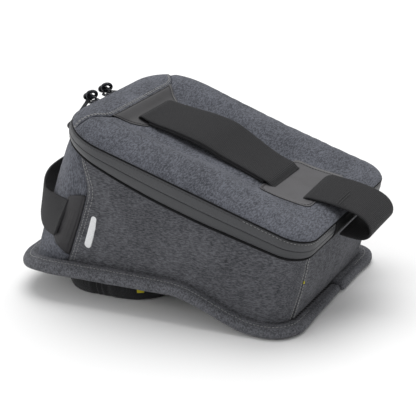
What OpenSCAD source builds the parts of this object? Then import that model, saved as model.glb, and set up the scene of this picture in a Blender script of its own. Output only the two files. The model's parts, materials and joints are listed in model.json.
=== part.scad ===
// Small motorcycle tank bag: a wedge-shaped zipped bag with a hinged padded lid,
// a padded skirt that sits on the tank, a carry handle, a pull loop and a mounting boot.
// +X points to the wide end where the lid hinges, +Z is up, the ground is z = 0.

/* [Lid] */
// Length of the lid along its slope
lid_len = 235; // [225:1:245]
// Width of the lid
lid_w = 178; // [172:1:182]
// Slope of the lid, down towards the wide end, in degrees
lid_tilt = 18.5; // [17:0.5:20]
// Height of the lid's edge above the ground, at its middle
lid_z = 117; // [114:1:122]
// Corner radius of the lid at its narrow end
narrow_r = 46; // [40:1:50]
// Corner radius of the lid at its wide end
wide_r = 22; // [18:1:26]
// Height of the padded crown over the lid's edge, at its middle
crown_h = 7.5; // [7:0.5:8.5]
// Slope of the crown over the lid's edge plane, down towards the wide end, in degrees
crown_tilt = 1.6; // [1:0.2:2]

/* [Gusset] */
// Height of the zipped band along the sides and the wide end
gusset_h = 21; // [19:0.5:23]
// Height of the zipped band at the narrow end
gusset_end_h = 11; // [10:0.5:13]
// Gap between the two halves of the zip
zip_gap = 0.6; // [0.4:0.1:1]

/* [Skirt] */
// Distance from the origin to the brim's middle line at the narrow end
skirt_narrow = 147; // [144:1:149]
// Distance from the origin to the brim's middle line at the wide end
skirt_wide = 110; // [107:1:112]
// Half width of the bag at the brim's middle line
skirt_half = 88.6; // [87:0.2:90]
// Half width of the brim's padded roll
brim_a = 8; // [6:0.5:8]
// Half height of the brim's padded roll
brim_b = 6; // [5:0.2:6]
// How far the skirt arches off the ground over the tank
arch_h = 22.5; // [21:0.5:25]

/* [Straps] */
// Width of the carry handle and pull loop webbing
handle_w = 50; // [45:1:52]
// Width of the end handle webbing
end_handle_w = 37; // [30:1:38]
// Thickness of the webbing
webbing_t = 2; // [1.6:0.1:2.4]

/* [Boot] */
// Length of the mounting boot
boot_len = 104; // [96:1:108]
// Width of the mounting boot
boot_w = 148; // [136:1:150]
// Bolt spacing on the mounting plate, lengthwise
bolt_x = 60; // [50:1:64]
// Bolt spacing on the mounting plate, crosswise
bolt_y = 40; // [36:1:60]
// Radius of the bolt holes
bolt_r = 2.75; // [2.6:0.05:3.2]

/* [Hidden] */
$fn = 32;

lid_x = 16.5;
half_len = lid_len / 2;
fabric_t = 3;
band_t = 2.2;
gap = 0.3;
patch_t = 0.8;
taper_u = 57;               // length of the band's taper at the narrow end
foot_z = 2 * brim_b + gap;  // height of the panels' lower edge over the brim's underside
foot_x = brim_a - 2;        // from the brim's middle line in to the panels' lower edge
flare = 0.35;               // how hollow the walls are between skirt and band
corner_n = 35;              // corner radii of the panels' lower edge
corner_w = 18;
pin_r = 0.8;
pull_len = 44;
slider_u = -half_len - gap;
pull_u = slider_u - 8.6;
near_v = -16;
far_v = 8;
boot_x = -66;
boot_top = arch_h + 2.6;
plate_t = 4;

// Colours
heather = [0.37, 0.38, 0.42];
heather_dark = [0.30, 0.30, 0.32];
coated = [0.25, 0.25, 0.27];
black_web = [0.16, 0.16, 0.17];
leather = [0.30, 0.30, 0.31];
black = [0.07, 0.07, 0.08];

function clamp01(t) = min(1, max(0, t));
function smooth(t) = let (c = clamp01(t)) c * c * (3 - 2 * c);
function mix(a, b, t) = a + (b - a) * t;

// Underside of the brim: flat at the wide end, arched in the middle, drooping at the narrow end.
function brim_z(x) = arch_h * smooth((86 - x) / 80) - 6 * smooth((-117 - x) / 32);

// Lower edge of the zipped band in the lid's own frame, and the zip's line half way up it.
function band_low(u) = -mix(gusset_end_h, gusset_h, clamp01((u + half_len) / taper_u));
function zip_line(u) = band_low(u) / 2;

// From the lid's own frame to the part's frame.
function lid_to_part(u, v, w) = [
    lid_x + u * cos(lid_tilt) + w * sin(lid_tilt),
    v,
    lid_z - u * sin(lid_tilt) + w * cos(lid_tilt)
];

// Half of a rounded outline, on the near side, from the narrow end's middle to the wide end's.
function arc_points(cx, cy, r, from, to, n) =
    [for (i = [0 : n]) let (a = mix(from, to, i / n)) [cx + r * cos(a), cy + r * sin(a)]];
function half_outline(x0, x1, half, r0, r1) = concat(
    [[x0, 0]],
    arc_points(x0 + r0, r0 - half, r0, 180, 270, 5),
    [for (i = [1 : 7]) [mix(x0 + r0, x1 - r1, i / 8), -half]],
    arc_points(x1 - r1, r1 - half, r1, 270, 360, 4),
    [[x1, 0]]
);
function closed(half) = concat(half, [for (i = [len(half) - 2 : -1 : 1]) [half[i].x, -half[i].y]]);

// The panels' upper and lower edges, drawn in by an inset.
function top_edge(inset) = [
    for (p = closed(half_outline(1 + inset - half_len, half_len - 1 - inset, lid_w / 2 - 1 - inset,
                                 narrow_r - inset, wide_r - inset)))
    lid_to_part(p.x, p.y, band_low(p.x) - 2)
];
function foot_edge(inset) = [
    for (p = closed(half_outline(inset + foot_x - skirt_narrow, skirt_wide - foot_x - inset,
                                 skirt_half - foot_x - inset, corner_n - inset, corner_w - inset)))
    [p.x, p.y, brim_z(p.x) + foot_z]
];

// One row of wall points at height s, from 0 at the skirt to 1 at the band.
function wall_row(s, inset, ids) = let (
    low = foot_edge(inset), high = top_edge(inset), n = len(low), h = s + flare * s * (1 - s)
) [for (i = ids) let (k = (i + n) % n)
    [mix(low[k].x, high[k].x, h), mix(low[k].y, high[k].y, h), mix(low[k].z, high[k].z, s)]];

// A solid between two grids of points, outer and inner, each a list of rows.
module slab(outer, inner, wrap = false) {
    rows = len(outer);
    cols = len(outer[0]);
    half_count = rows * cols;
    last = wrap ? cols - 1 : cols - 2;
    function at(r, c) = r * cols + c % cols;
    points = concat([for (r = outer) each r], [for (r = inner) each r]);
    skins = [for (r = [0 : rows - 2], c = [0 : last]) each [
        [at(r, c), at(r + 1, c), at(r + 1, c + 1), at(r, c + 1)],
        [for (k = [at(r, c), at(r, c + 1), at(r + 1, c + 1), at(r + 1, c)]) k + half_count]
    ]];
    rims = [for (c = [0 : last]) each [
        [at(0, c + 1), at(0, c + 1) + half_count, at(0, c) + half_count, at(0, c)],
        [at(rows - 1, c) + half_count, at(rows - 1, c + 1) + half_count, at(rows - 1, c + 1), at(rows - 1, c)]
    ]];
    sides = wrap ? [] : [for (r = [0 : rows - 2]) each [
        [at(r, 0) + half_count, at(r + 1, 0) + half_count, at(r + 1, 0), at(r, 0)],
        [at(r, cols - 1), at(r + 1, cols - 1), at(r + 1, cols - 1) + half_count, at(r, cols - 1) + half_count]
    ]];
    polyhedron(points = points, faces = concat(skins, rims, sides), convexity = 6);
}

// A panel of the wall over some of the outline's points, from one inset to another.
module wall(ids, levels, inset_out, inset_in, wrap = false)
    slab([for (s = levels) wall_row(s, inset_out, ids)], [for (s = levels) wall_row(s, inset_in, ids)], wrap);

// A roll of a given width and height along a path on the level, eight-sided with a flat underside.
module roll(path, a, b, wrap = false) {
    n = len(path);
    sides = 8;
    function near_point(i) = wrap ? (i + n) % n : min(n - 1, max(0, i));
    function ring_of(i) = let (
        d = path[near_point(i + 1)] - path[near_point(i - 1)],
        l = norm([d.x, d.y]),
        out = [d.y / l, -d.x / l, 0]
    ) [for (j = [0 : sides - 1]) let (f = 22.5 + j * 45)
        path[i] + out * a * cos(f) / cos(22.5) + [0, 0, b * sin(f) / cos(22.5)]];
    function at(i, j) = (i % n) * sides + (j % sides);
    skins = [for (i = [0 : wrap ? n - 1 : n - 2], j = [0 : sides - 1])
        [at(i, j), at(i, j + 1), at(i + 1, j + 1), at(i + 1, j)]];
    ends = wrap ? [] : [
        [for (j = [sides - 1 : -1 : 0]) at(0, j)],
        [for (j = [0 : sides - 1]) at(n - 1, j)]
    ];
    polyhedron(points = [for (i = [0 : n - 1]) each ring_of(i)], faces = concat(skins, ends), convexity = 6);
}

// A flat strip of some thickness that follows a path in its own plane.
module ribbon(path, thickness, width) {
    n = len(path);
    function side(i) = let (d = path[min(n - 1, i + 1)] - path[max(0, i - 1)], l = norm(d)) [-d.y / l, d.x / l];
    rotate([90, 0, 0])
        linear_extrude(width, center = true)
            polygon(concat(path, [for (i = [n - 1 : -1 : 0]) path[i] + side(i) * thickness]));
}

// Everything on the lid is drawn in the lid's own frame, with w = 0 at its edge.
module on_lid() {
    translate([lid_x, 0, lid_z])
        rotate([0, lid_tilt, 0])
            children();
}

// The lid's outline, drawn in by an inset.
module outline(inset) {
    l = half_len - inset;
    h = lid_w / 2 - inset;
    rn = narrow_r - inset;
    rw = wide_r - inset;
    polygon([[-l, rn - h], [rn - l, -h], [l - rw, -h], [l, rw - h], [l, h - rw], [l - rw, h], [rn - l, h], [-l, h - rn]]);
    for (s = [-1, 1]) {
        translate([rn - l, s * (h - rn)]) circle(rn);
        translate([l - rw, s * (h - rw)]) circle(rw);
    }
}

module ring(out, in, z, h) {
    translate([0, 0, z])
        linear_extrude(h)
            difference() {
                outline(out);
                outline(in);
            }
}

// The part of a ring that lies between two lines across the band's side view.
module between(high, low, high_end, low_end) {
    reach = half_len + 10;
    rotate([90, 0, 0])
        linear_extrude(lid_w + 40, center = true)
            polygon([
                [-reach, high_end], [taper_u - half_len, high], [reach, high],
                [reach, low], [taper_u - half_len, low], [-reach, low_end]
            ]);
}

function past_end(high, end) = mix(high, end, (taper_u + 10) / taper_u);

module lid_crown() {
    hull() {
        linear_extrude(0.5) outline(1.5);
        translate([0, 0, crown_h - 0.5]) rotate([0, crown_tilt, 0]) linear_extrude(0.5) outline(18);
    }
}

// The middle of the lid is drawn down between the two ends of the handle.
dip = [[-85, 8.4], [-74, 5.2], [-60, 4.6], [-30, 1.6], [8, 1.2], [48, 0.6], [60, 0.6], [85, 3.2], [96, 5.4], [104, 8]];
dip_half = 39;

module lid_dip() {
    rotate([90, 0, 0])
        linear_extrude(2 * dip_half, center = true)
            polygon(concat(dip, [[110, 20], [-85, 20]]));
}

// The yoke is the narrow end's part of the crown, with its seam angled to the corners.
module yoke_area() {
    seam = -85;
    translate([0, 0, -1])
        linear_extrude(crown_h + 2)
            polygon([
                [-half_len - 5, -lid_w], [seam - 16, -lid_w], [seam - 16, -80], [seam - 11, -66], [seam, -52],
                [seam, 52], [seam - 11, 66], [seam - 16, 80], [seam - 16, lid_w], [-half_len - 5, lid_w]
            ]);
}

module lid_panel() {
    color(heather) on_lid() difference() {
        lid_crown();
        yoke_area();
        lid_dip();
    }
}

module lid_yoke() {
    color(heather) on_lid() intersection() {
        lid_crown();
        yoke_area();
    }
}

module lid_piping() {
    color(black) on_lid() ring(-1, 1.5, 0, 2.4);
}

module lid_foam() {
    color("dimgray") on_lid() translate([0, 0, -5]) linear_extrude(5) outline(band_t + 2.4);
}

module lid_lining() {
    color("slategray") on_lid() translate([0, 0, -6]) linear_extrude(1) outline(band_t + 2.6);
}

module lid_pocket() {
    color(black) on_lid() translate([-60, -55, -7.2]) cube([135, 110, 1.2]);
}

module upper_gusset() {
    color(coated) on_lid() intersection() {
        ring(0, band_t, -gusset_h, gusset_h);
        between(5, (zip_gap - gusset_h) / 2, 5, past_end(-gusset_h, -gusset_end_h) / 2 + zip_gap / 2);
    }
}

module upper_zip() {
    color(black) on_lid() intersection() {
        ring(band_t, band_t + 1.8, -gusset_h, gusset_h);
        between(-5.2, (zip_gap - gusset_h) / 2, -0.6, past_end(-gusset_h, -gusset_end_h) / 2 + zip_gap / 2);
    }
}

module lower_gusset() {
    color(coated) on_lid() intersection() {
        ring(0, band_t, -gusset_h - 1, gusset_h);
        between((-zip_gap - gusset_h) / 2, -gusset_h,
                past_end(-gusset_h, -gusset_end_h) / 2 - zip_gap / 2, past_end(-gusset_h, -gusset_end_h));
    }
}

module lower_zip() {
    color(black) on_lid() intersection() {
        ring(band_t, band_t + 1.8, -gusset_h, gusset_h);
        between((-zip_gap - gusset_h) / 2, -15.5,
                past_end(-gusset_h, -gusset_end_h) / 2 - zip_gap / 2, past_end(-15.5, -8.4));
    }
}

module body_piping() {
    path = [
        for (p = closed(half_outline(0.6 - half_len, half_len - 0.6, lid_w / 2 - 0.6, narrow_r, wide_r)))
        lid_to_part(p.x, p.y, band_low(p.x) - 1.2)
    ];
    color(black) roll(path, 1.3, 0.8, true);
}

// Outline points 0 to 37: 0 is the narrow end's middle, 19 the wide end's, the near side comes first.
narrow_ids = [for (i = [-5 : 5]) i];
near_ids = [for (i = [5 : 16]) i];
wide_ids = [for (i = [16 : 22]) i];
all_ids = [for (i = [0 : 37]) i];
levels = [0, 0.2, 0.45, 0.72, 1];

module near_side_panel() {
    color(heather_dark) wall(near_ids, levels, 0, fabric_t);
}

module far_side_panel() {
    color(heather_dark) mirror([0, 1, 0]) wall(near_ids, levels, 0, fabric_t);
}

module narrow_end_panel() {
    color(heather) wall(narrow_ids, levels, 0, fabric_t);
}

module wide_end_panel() {
    color(heather_dark) wall(wide_ids, levels, 0, fabric_t);
}

module body_lining() {
    color("slategray") wall(all_ids, [0.1, 0.2, 0.45, 0.72, 0.95], fabric_t + 1, fabric_t + 2, true);
}

// A plate that follows the skirt's arch, between two heights over the brim's underside.
module deck(inset, low, high) {
    near = half_outline(inset + foot_x - skirt_narrow, skirt_wide - foot_x - inset,
                        skirt_half - foot_x - inset, corner_n - inset, corner_w - inset);
    ids = [for (i = [1 : len(near) - 2]) i];
    function row(side, h) = [for (i = ids) [near[i].x, side * near[i].y, brim_z(near[i].x) + h]];
    slab([row(1, high), row(-1, high)], [row(1, low), row(-1, low)]);
}

module base_board() {
    color("gray") deck(6, 8.8, 10.8);
}

module base_pad() {
    color(black) deck(4.4, 3, 8.5);
}

// The brim is two padded rolls that meet at the narrow end and lap at the wide end.
function brim_path(ids) = let (
    plan = closed(half_outline(-skirt_narrow, skirt_wide, skirt_half, corner_n + 5, corner_w + 1))
) [for (i = ids) let (p = plan[i % len(plan)]) [p.x, p.y, brim_z(p.x) + brim_b]];
lap_y = 8;
lap_point = [skirt_wide, lap_y, brim_b];

module brim_near() {
    color(heather) roll(concat(brim_path([for (i = [0 : 18]) i]), [lap_point - [0, gap, 0]]), brim_a, brim_b);
}

module brim_far() {
    path = concat([lap_point], brim_path([for (i = [20 : 37]) i]), [brim_path([0])[0] + [0, gap, 0]]);
    color(heather) roll(path, brim_a, brim_b);
}

module hinge_flap() {
    color(black) on_lid()
        translate([half_len + 0.2, -27, -gusset_h])
            cube([1.2, 54, gusset_h / 2 - zip_gap]);
}

// A smooth patch of some plan that lies in the lid's dip.
module patch(from, to) {
    color(leather) on_lid() intersection() {
        ribbon([for (p = dip) if (p.x >= from && p.x <= to) p + [0, 0.1]], patch_t, 2 * dip_half - 1);
        translate([0, 0, -5]) linear_extrude(30) children();
    }
}

// Patch between the yoke seam and the handle's slot.
module handle_patch_narrow() {
    patch(-85, -30) polygon([
        [-84.5, -38], [-74, -38], [-63, -32], [-55, -26], [-55, 26], [-63, 32], [-74, 38], [-84.5, 38]
    ]);
}

module handle_patch_wide() {
    round = 6;
    patch(48, 96) {
        translate([49, round - 37]) square([46, 74 - 2 * round]);
        translate([49, -37]) square([46 - round, 74]);
        for (s = [-1, 1]) translate([95 - round, s * (37 - round)]) circle(round);
    }
}

// Underside of the carry handle, from the narrow patch's slot to the wide patch.
handle_path = [
    [-70, 6.5], [-61, 6.2], [-50, 6.9], [-36, 9], [-22, 10.3], [-10, 10.4], [2, 9.1], [15, 6.8], [28, 4.5],
    [40, 2.7], [48, 1.9], [57.5, 1.9]
];

module carry_handle() {
    color(black_web) on_lid() ribbon(handle_path, webbing_t, handle_w);
}

// The loop leaves the patch, stands out over the wide end and comes back to the hinge.
loop_path = [
    [86, 5], [97, 6.9], [108, 8.4], [120, 9.4], [131, 9], [138, 6.8], [142.7, 3], [144.2, -2],
    [142, -6.4], [135.5, -9.4], [127.5, -12.6], [122.5, -16.4]
];

module pull_loop() {
    color(black_web) on_lid() ribbon(loop_path, webbing_t, handle_w);
}

end_handle_z = 70;
end_handle_tilt = 25;

module end_handle() {
    reach = 70;
    steps = 14;
    path = [for (i = [0 : steps]) let (t = 2 * i / steps - 1) [28 * pow(abs(t), 3) - 19, t * reach]];
    n = len(path);
    function side(i) = let (d = path[min(n - 1, i + 1)] - path[max(0, i - 1)], l = norm(d)) [d.y / l, -d.x / l];
    color(black_web)
        translate([-126, 0, end_handle_z])
            rotate([0, end_handle_tilt, 0])
                linear_extrude(end_handle_w, center = true)
                    polygon(concat(path, [for (i = [n - 1 : -1 : 0]) path[i] - side(i) * webbing_t]));
}

module end_patch_near() {
    color(leather) wall([3, 4, 5], [0.2, 0.45, 0.72], -1.5, -gap);
}

module end_patch_far() {
    color(leather) mirror([0, 1, 0]) end_patch_near();
}

// Light strip on the side panel, leaning with the end seam.
module reflector(side) {
    l = 25;
    color("whitesmoke")
        translate([-68, side * 86.9, 63])
            rotate([0, 19, 0])
                rotate([90, 0, 0])
                    linear_extrude(0.8, center = true) {
                        square([6.5, l], center = true);
                        for (s = [-1, 1]) translate([0, s * l / 2]) circle(3.25);
                    }
}

module reflector_near() {
    reflector(-1);
}

module reflector_far() {
    reflector(1);
}

// Zip slider: a wedge body on the band and a bridge that carries the pull's pin.
module slider(v) {
    w = zip_line(-half_len);
    color("dimgray") on_lid() translate([0, v, w]) {
        translate([slider_u - 4.6, -5, -4.5]) cube([4.6, 10, 9]);
        for (s = [0, 1]) translate([pull_u - 1.5, -2, s ? 6.4 : 1.4]) cube([4.6, 4, 1.2]);
        translate([slider_u - 5.5, -2, 1.4]) cube([2.2, 4, 6.2]);
        translate([pull_u, 0, 1.4]) cylinder(h = 6, r = pin_r);
    }
}

module slider_near() {
    slider(near_v);
}

module slider_far() {
    slider(far_v);
}

// Zip pull: an eye on the pin, a doubled cord and a moulded grip that droops along the band.
module pull(v, side) {
    w = zip_line(-half_len) + 4.5;
    color(black) on_lid() translate([pull_u, v, w]) {
        difference() {
            translate([0, 0, -1.2]) cylinder(h = 2.4, r = 2.2);
            translate([0, 0, -2]) cylinder(h = 4, r = pin_r + 0.15);
        }
        translate([0, side * 1.6, 0]) rotate([-side * 90 - side * 12, 0, 0]) {
            for (s = [-1, 1]) translate([s * 0.9, 0, 0]) cylinder(h = 18, r = 0.8);
            translate([0, 0, 18]) cylinder(h = pull_len - 24, r = 3);
            translate([0, 0, 18]) sphere(3);
            translate([0, 0, pull_len - 6]) sphere(3);
        }
    }
}

module pull_near() {
    pull(near_v, -1);
}

module pull_far() {
    pull(far_v, 1);
}

// Plan of the mounting boot, drawn in by an inset.
module boot_plan(inset) {
    r = 36 - inset;
    l = boot_len / 2 - inset;
    h = boot_w / 2 - inset;
    polygon([[-l, r - h], [r - l, -h], [l - r, -h], [l, r - h], [l, h - r], [l - r, h], [r - l, h], [-l, h - r]]);
    for (x = [-1, 1], y = [-1, 1]) translate([x * (l - r), y * (h - r)]) circle(r);
}

module boot_cover() {
    color(black) translate([boot_x, 0, 0]) difference() {
        hull() {
            translate([0, 0, 0.4]) linear_extrude(1) boot_plan(4);
            translate([0, 0, 8]) linear_extrude(boot_top - 8) boot_plan(0);
        }
        translate([0, 0, -1]) linear_extrude(boot_top + 2) boot_plan(13);
    }
}

module bolt_places() {
    for (x = [-1, 1], y = [-1, 1]) translate([x * bolt_x / 2, y * bolt_y / 2, 0]) children();
}

module boot_core() {
    color("dimgray") translate([boot_x, 0, plate_t]) difference() {
        linear_extrude(boot_top - plate_t) boot_plan(13.3);
        bolt_places() translate([0, 0, -1]) cylinder(h = 15, r = 6);
    }
}

module mount_plate() {
    color("dimgray") translate([boot_x, 0, 0]) difference() {
        linear_extrude(plate_t) boot_plan(13.3);
        bolt_places() translate([0, 0, -1]) cylinder(h = plate_t + 2, r = bolt_r);
    }
}

module release_tab() {
    color("gold") translate([-35, -72.3, 9]) rotate([0, 0, 28]) cube([6, 1, 9]);
}

lid_panel();
lid_yoke();
lid_piping();
lid_foam();
lid_lining();
lid_pocket();
upper_gusset();
upper_zip();
lower_gusset();
lower_zip();
body_piping();
near_side_panel();
far_side_panel();
narrow_end_panel();
wide_end_panel();
body_lining();
base_board();
base_pad();
brim_near();
brim_far();
hinge_flap();
handle_patch_narrow();
handle_patch_wide();
carry_handle();
pull_loop();
end_handle();
end_patch_near();
end_patch_far();
reflector_near();
reflector_far();
slider_near();
slider_far();
pull_near();
pull_far();
boot_cover();
boot_core();
mount_plate();
release_tab();
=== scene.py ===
"""The looks of a small motorcycle tank bag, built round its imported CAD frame.

Lengths are in millimetres until a mesh is made. The lid has a frame of its own: u runs down its slope
to the wide end, v across to the far side, and w up from its edge. Round any outline of the bag, p runs
from 0 at the narrow end's middle, past the near side, to 1 at the wide end's, and on past the far side to 2.
On the walls s runs from 0 at the brim to 1 at the zipped band.
"""

import json
import math

import bmesh
import bpy
import numpy as np
from mathutils import Matrix, Vector
from mathutils.bvhtree import BVHTree


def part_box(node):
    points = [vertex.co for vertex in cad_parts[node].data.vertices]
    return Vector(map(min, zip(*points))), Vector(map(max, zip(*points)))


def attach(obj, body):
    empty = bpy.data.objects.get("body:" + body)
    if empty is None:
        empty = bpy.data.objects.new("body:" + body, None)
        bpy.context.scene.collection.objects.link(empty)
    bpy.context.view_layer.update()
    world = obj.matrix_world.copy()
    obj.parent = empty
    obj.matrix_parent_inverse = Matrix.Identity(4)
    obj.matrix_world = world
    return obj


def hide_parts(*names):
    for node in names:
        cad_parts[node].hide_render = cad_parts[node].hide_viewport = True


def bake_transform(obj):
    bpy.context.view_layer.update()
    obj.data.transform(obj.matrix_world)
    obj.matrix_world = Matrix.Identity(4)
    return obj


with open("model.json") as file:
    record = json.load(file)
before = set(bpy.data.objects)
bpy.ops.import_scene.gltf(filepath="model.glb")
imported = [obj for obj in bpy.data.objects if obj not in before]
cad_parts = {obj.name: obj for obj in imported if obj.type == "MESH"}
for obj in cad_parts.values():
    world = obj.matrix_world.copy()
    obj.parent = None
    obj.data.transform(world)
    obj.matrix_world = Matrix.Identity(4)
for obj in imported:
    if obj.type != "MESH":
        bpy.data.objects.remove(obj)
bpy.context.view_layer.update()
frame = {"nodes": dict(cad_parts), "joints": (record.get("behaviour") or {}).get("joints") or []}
MM = 0.001

# ---------------------------------------------------------------- the frame's own numbers


def joint(name):
    """A joint of the frame, by name."""
    return next(j for j in frame["joints"] if j["name"] == name)


def box(node):
    """Lowest and highest corner of a CAD node, in mm."""
    low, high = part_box(node)
    return np.array(low) / MM, np.array(high) / MM


def span(node, axis):
    """Lowest and highest reach of a CAD node along an axis, in mm."""
    points = np.array([v.co for v in frame["nodes"][node].data.vertices]) / MM
    reach = points @ np.array(axis, float)
    return reach.min(), reach.max()


def pull_eye(side):
    """Where a zip pull's joint sits, in mm."""
    return np.array(joint(f"pull_{side}_swing")["pos_m"]) / MM


W_AXIS = np.array(joint("pull_far_swing")["axis"])
V_AXIS = np.array([0.0, 1.0, 0.0])
U_AXIS = np.cross(V_AXIS, W_AXIS)
PIPING_T = 1.0  # how far the piping stands out past the lid's outline
LID_U = span("lid_piping", U_AXIS)
LID_V = span("lid_piping", V_AXIS)
LID_ORIGIN = U_AXIS * sum(LID_U) / 2 + W_AXIS * span("lid_piping", W_AXIS)[0]
LID_HALF_L = (LID_U[1] - LID_U[0]) / 2 - PIPING_T
LID_HALF_W = LID_V[1] - PIPING_T
LID_R_NARROW = 46
LID_R_WIDE = 22
BAND_H = span("upper_gusset", W_AXIS)[1] - span("lower_gusset", W_AXIS)[0]
BRIM_LOW, BRIM_HIGH = box("brim_near")[0], box("brim_far")[1]
BOOT_IN = 2.6  # how far the boot reaches up past the brim's arch
ARCH_H = box("boot_core")[1][2] - BOOT_IN


def lid(u, v, w):
    """Points given in the lid's frame, in the part's frame."""
    u, v, w = np.broadcast_arrays(u, v, w)
    return LID_ORIGIN + u[..., None] * U_AXIS + v[..., None] * V_AXIS + w[..., None] * W_AXIS


def spans(node):
    """Reach of a node along the lid's three axes, measured from the lid's origin."""
    found = []
    for axis in (U_AXIS, V_AXIS, W_AXIS):
        shift = LID_ORIGIN @ axis
        low, high = span(node, axis)
        found.append((low - shift, high - shift))
    return found


# ---------------------------------------------------------------- curves and surfaces


def mix(a, b, t):
    """From a at t = 0 to b at t = 1."""
    return a + (b - a) * t


def smooth(t):
    """An eased step from 0 to 1."""
    t = np.clip(t, 0, 1)
    return t * t * (3 - 2 * t)


def bell(x, centre, width):
    """1 at the centre, falling off smoothly on both sides."""
    return np.exp(-(((x - centre) / width) ** 2))


def unit(vectors):
    """Vectors scaled to a length of 1."""
    return vectors / np.linalg.norm(vectors, axis=-1, keepdims=True)


def around(count):
    """Evenly spaced places all round an outline."""
    return np.linspace(0, 2, count, endpoint=False)


def run_of(path):
    """Length along a path up to each of its points."""
    return np.concatenate([[0], np.cumsum(np.linalg.norm(np.diff(path, axis=0), axis=1))])


def softened(path, times):
    """A path with its bends eased and its ends kept."""
    for _ in range(times):
        path[1:-1] = (path[:-2] + 2 * path[1:-1] + path[2:]) / 4
    return path


def curve(x, xs, ys):
    """A smooth curve through points, by monotone cubic pieces."""
    xs, ys = np.asarray(xs, float), np.asarray(ys, float)
    slope = np.diff(ys) / np.diff(xs)
    tangent = np.concatenate([[slope[0]], (slope[:-1] + slope[1:]) / 2, [slope[-1]]])
    flat = np.concatenate([[False], slope[:-1] * slope[1:] <= 0, [False]])
    tangent[flat] = 0
    x = np.clip(x, xs[0], xs[-1])
    i = np.clip(np.searchsorted(xs, x, side="right") - 1, 0, len(xs) - 2)
    h = xs[i + 1] - xs[i]
    t = (x - xs[i]) / h
    return (
        (1 + 2 * t) * (1 - t) ** 2 * ys[i]
        + t * (1 - t) ** 2 * h * tangent[i]
        + t * t * (3 - 2 * t) * ys[i + 1]
        + t * t * (t - 1) * h * tangent[i + 1]
    )


BREAKS = (0.0, 0.16, 0.30, 0.80, 0.90, 1.0)


def half_outline(p, x0, x1, half, r0, r1):
    """Near half of a rounded outline: p is 0 at the narrow end's middle and 1 at the wide end's."""
    t = [np.clip((p - a) / (b - a), 0, 1) for a, b in zip(BREAKS, BREAKS[1:])]
    first = math.pi + t[1] * math.pi / 2
    last = 1.5 * math.pi + t[3] * math.pi / 2
    x = np.select(
        [p < BREAKS[1], p < BREAKS[2], p < BREAKS[3], p < BREAKS[4]],
        [x0 + 0 * p, x0 + r0 + r0 * np.cos(first), mix(x0 + r0, x1 - r1, t[2]), x1 - r1 + r1 * np.cos(last)],
        x1 + 0 * p,
    )
    y = np.select(
        [p < BREAKS[1], p < BREAKS[2], p < BREAKS[3], p < BREAKS[4]],
        [(r0 - half) * t[0], r0 - half + r0 * np.sin(first), -half + 0 * p, r1 - half + r1 * np.sin(last)],
        (r1 - half) * (1 - t[4]),
    )
    return x, y


def outline(p, x0, x1, half, r0, r1):
    """Whole outline: p runs from 0 to 2, and the far side comes after 1."""
    p = np.mod(np.asarray(p, float), 2)
    x, y = half_outline(np.minimum(p, 2 - p), x0, x1, half, r0, r1)
    return x, np.where(p > 1, -y, y)


def lid_edge(p, out=0.0):
    """Outline of the lid in u and v, grown by out."""
    half = LID_HALF_L + out
    return outline(p, -half, half, LID_HALF_W + out, LID_R_NARROW + out, LID_R_WIDE + out)


def outline_length(edge):
    """Length round an outline."""
    x, y = edge(np.linspace(0, 2, 400))
    return np.hypot(np.diff(x), np.diff(y)).sum()


def normals_at(p, edge):
    """Unit normals of an outline at p."""
    step = 1e-3
    (xa, ya), (xb, yb) = edge(p - step), edge(p + step)
    length = np.hypot(xb - xa, yb - ya)
    return (yb - ya) / length, -(xb - xa) / length


def coons(left, right, low, high):
    """A grid of points inside four boundary curves: left and right run along the rows, low and high
    along the columns."""
    rows, cols = len(left), len(low)
    c = np.linspace(0, 1, cols)[None, :, None]
    r = np.linspace(0, 1, rows)[:, None, None]
    ruled = (1 - c) * left[:, None] + c * right[:, None] + (1 - r) * low[None] + r * high[None]
    below = (1 - c) * (1 - r) * low[0] + c * (1 - r) * low[-1]
    above = (1 - c) * r * high[0] + c * r * high[-1]
    return ruled - below - above


# ---------------------------------------------------------------- meshes


def grid_faces(rows, cols, wrap=False):
    """Four-sided faces over a grid of points, joined round its columns when it wraps."""
    faces = []
    last = cols if wrap else cols - 1
    for r in range(rows - 1):
        for c in range(last):
            d = (c + 1) % cols
            faces.append((r * cols + c, r * cols + d, (r + 1) * cols + d, (r + 1) * cols + c))
    return faces


def cap_faces(count, sides):
    """The two end faces of a loft of rings."""
    return [tuple(range(sides))[::-1], tuple((count - 1) * sides + c for c in range(sides))]


def moved(faces, first):
    """Faces with their point numbers counted from first."""
    return [tuple(first + i for i in face) for face in faces]


def make(name, points, faces, material, crease=40):
    """A mesh object from points in mm, shaded smooth except over its sharp edges."""
    mesh = bpy.data.meshes.new(name)
    mesh.from_pydata((np.asarray(points, float).reshape(-1, 3) * MM).tolist(), [], faces)
    mesh.materials.append(material)
    mesh.validate()
    piece = bpy.data.objects.new(name, mesh)
    bpy.context.scene.collection.objects.link(piece)
    mesh.shade_smooth()
    if crease:
        edit = bmesh.new()
        edit.from_mesh(mesh)
        for edge in edit.edges:
            edge.smooth = len(edge.link_faces) != 2 or edge.calc_face_angle(0) < math.radians(crease)
        edit.to_mesh(mesh)
        edit.free()
    return piece


def recalc(piece):
    """Turns a closed mesh's faces to look outward."""
    edit = bmesh.new()
    edit.from_mesh(piece.data)
    bmesh.ops.recalc_face_normals(edit, faces=edit.faces)
    edit.to_mesh(piece.data)
    edit.free()
    return piece


def look_along(piece, direction):
    """Flips an open sheet so that it looks mostly along a direction."""
    normal = sum((p.normal * p.area for p in piece.data.polygons), Vector())
    if normal.dot(Vector(direction)) < 0:
        piece.data.flip_normals()
    return piece


def face_away(piece, centre):
    """Flips an open sheet so that it looks away from a point."""
    middle = Vector(np.asarray(centre, float) * MM)
    turn = sum(p.normal.dot(p.center - middle) * p.area for p in piece.data.polygons)
    if turn < 0:
        piece.data.flip_normals()
    return piece


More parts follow.
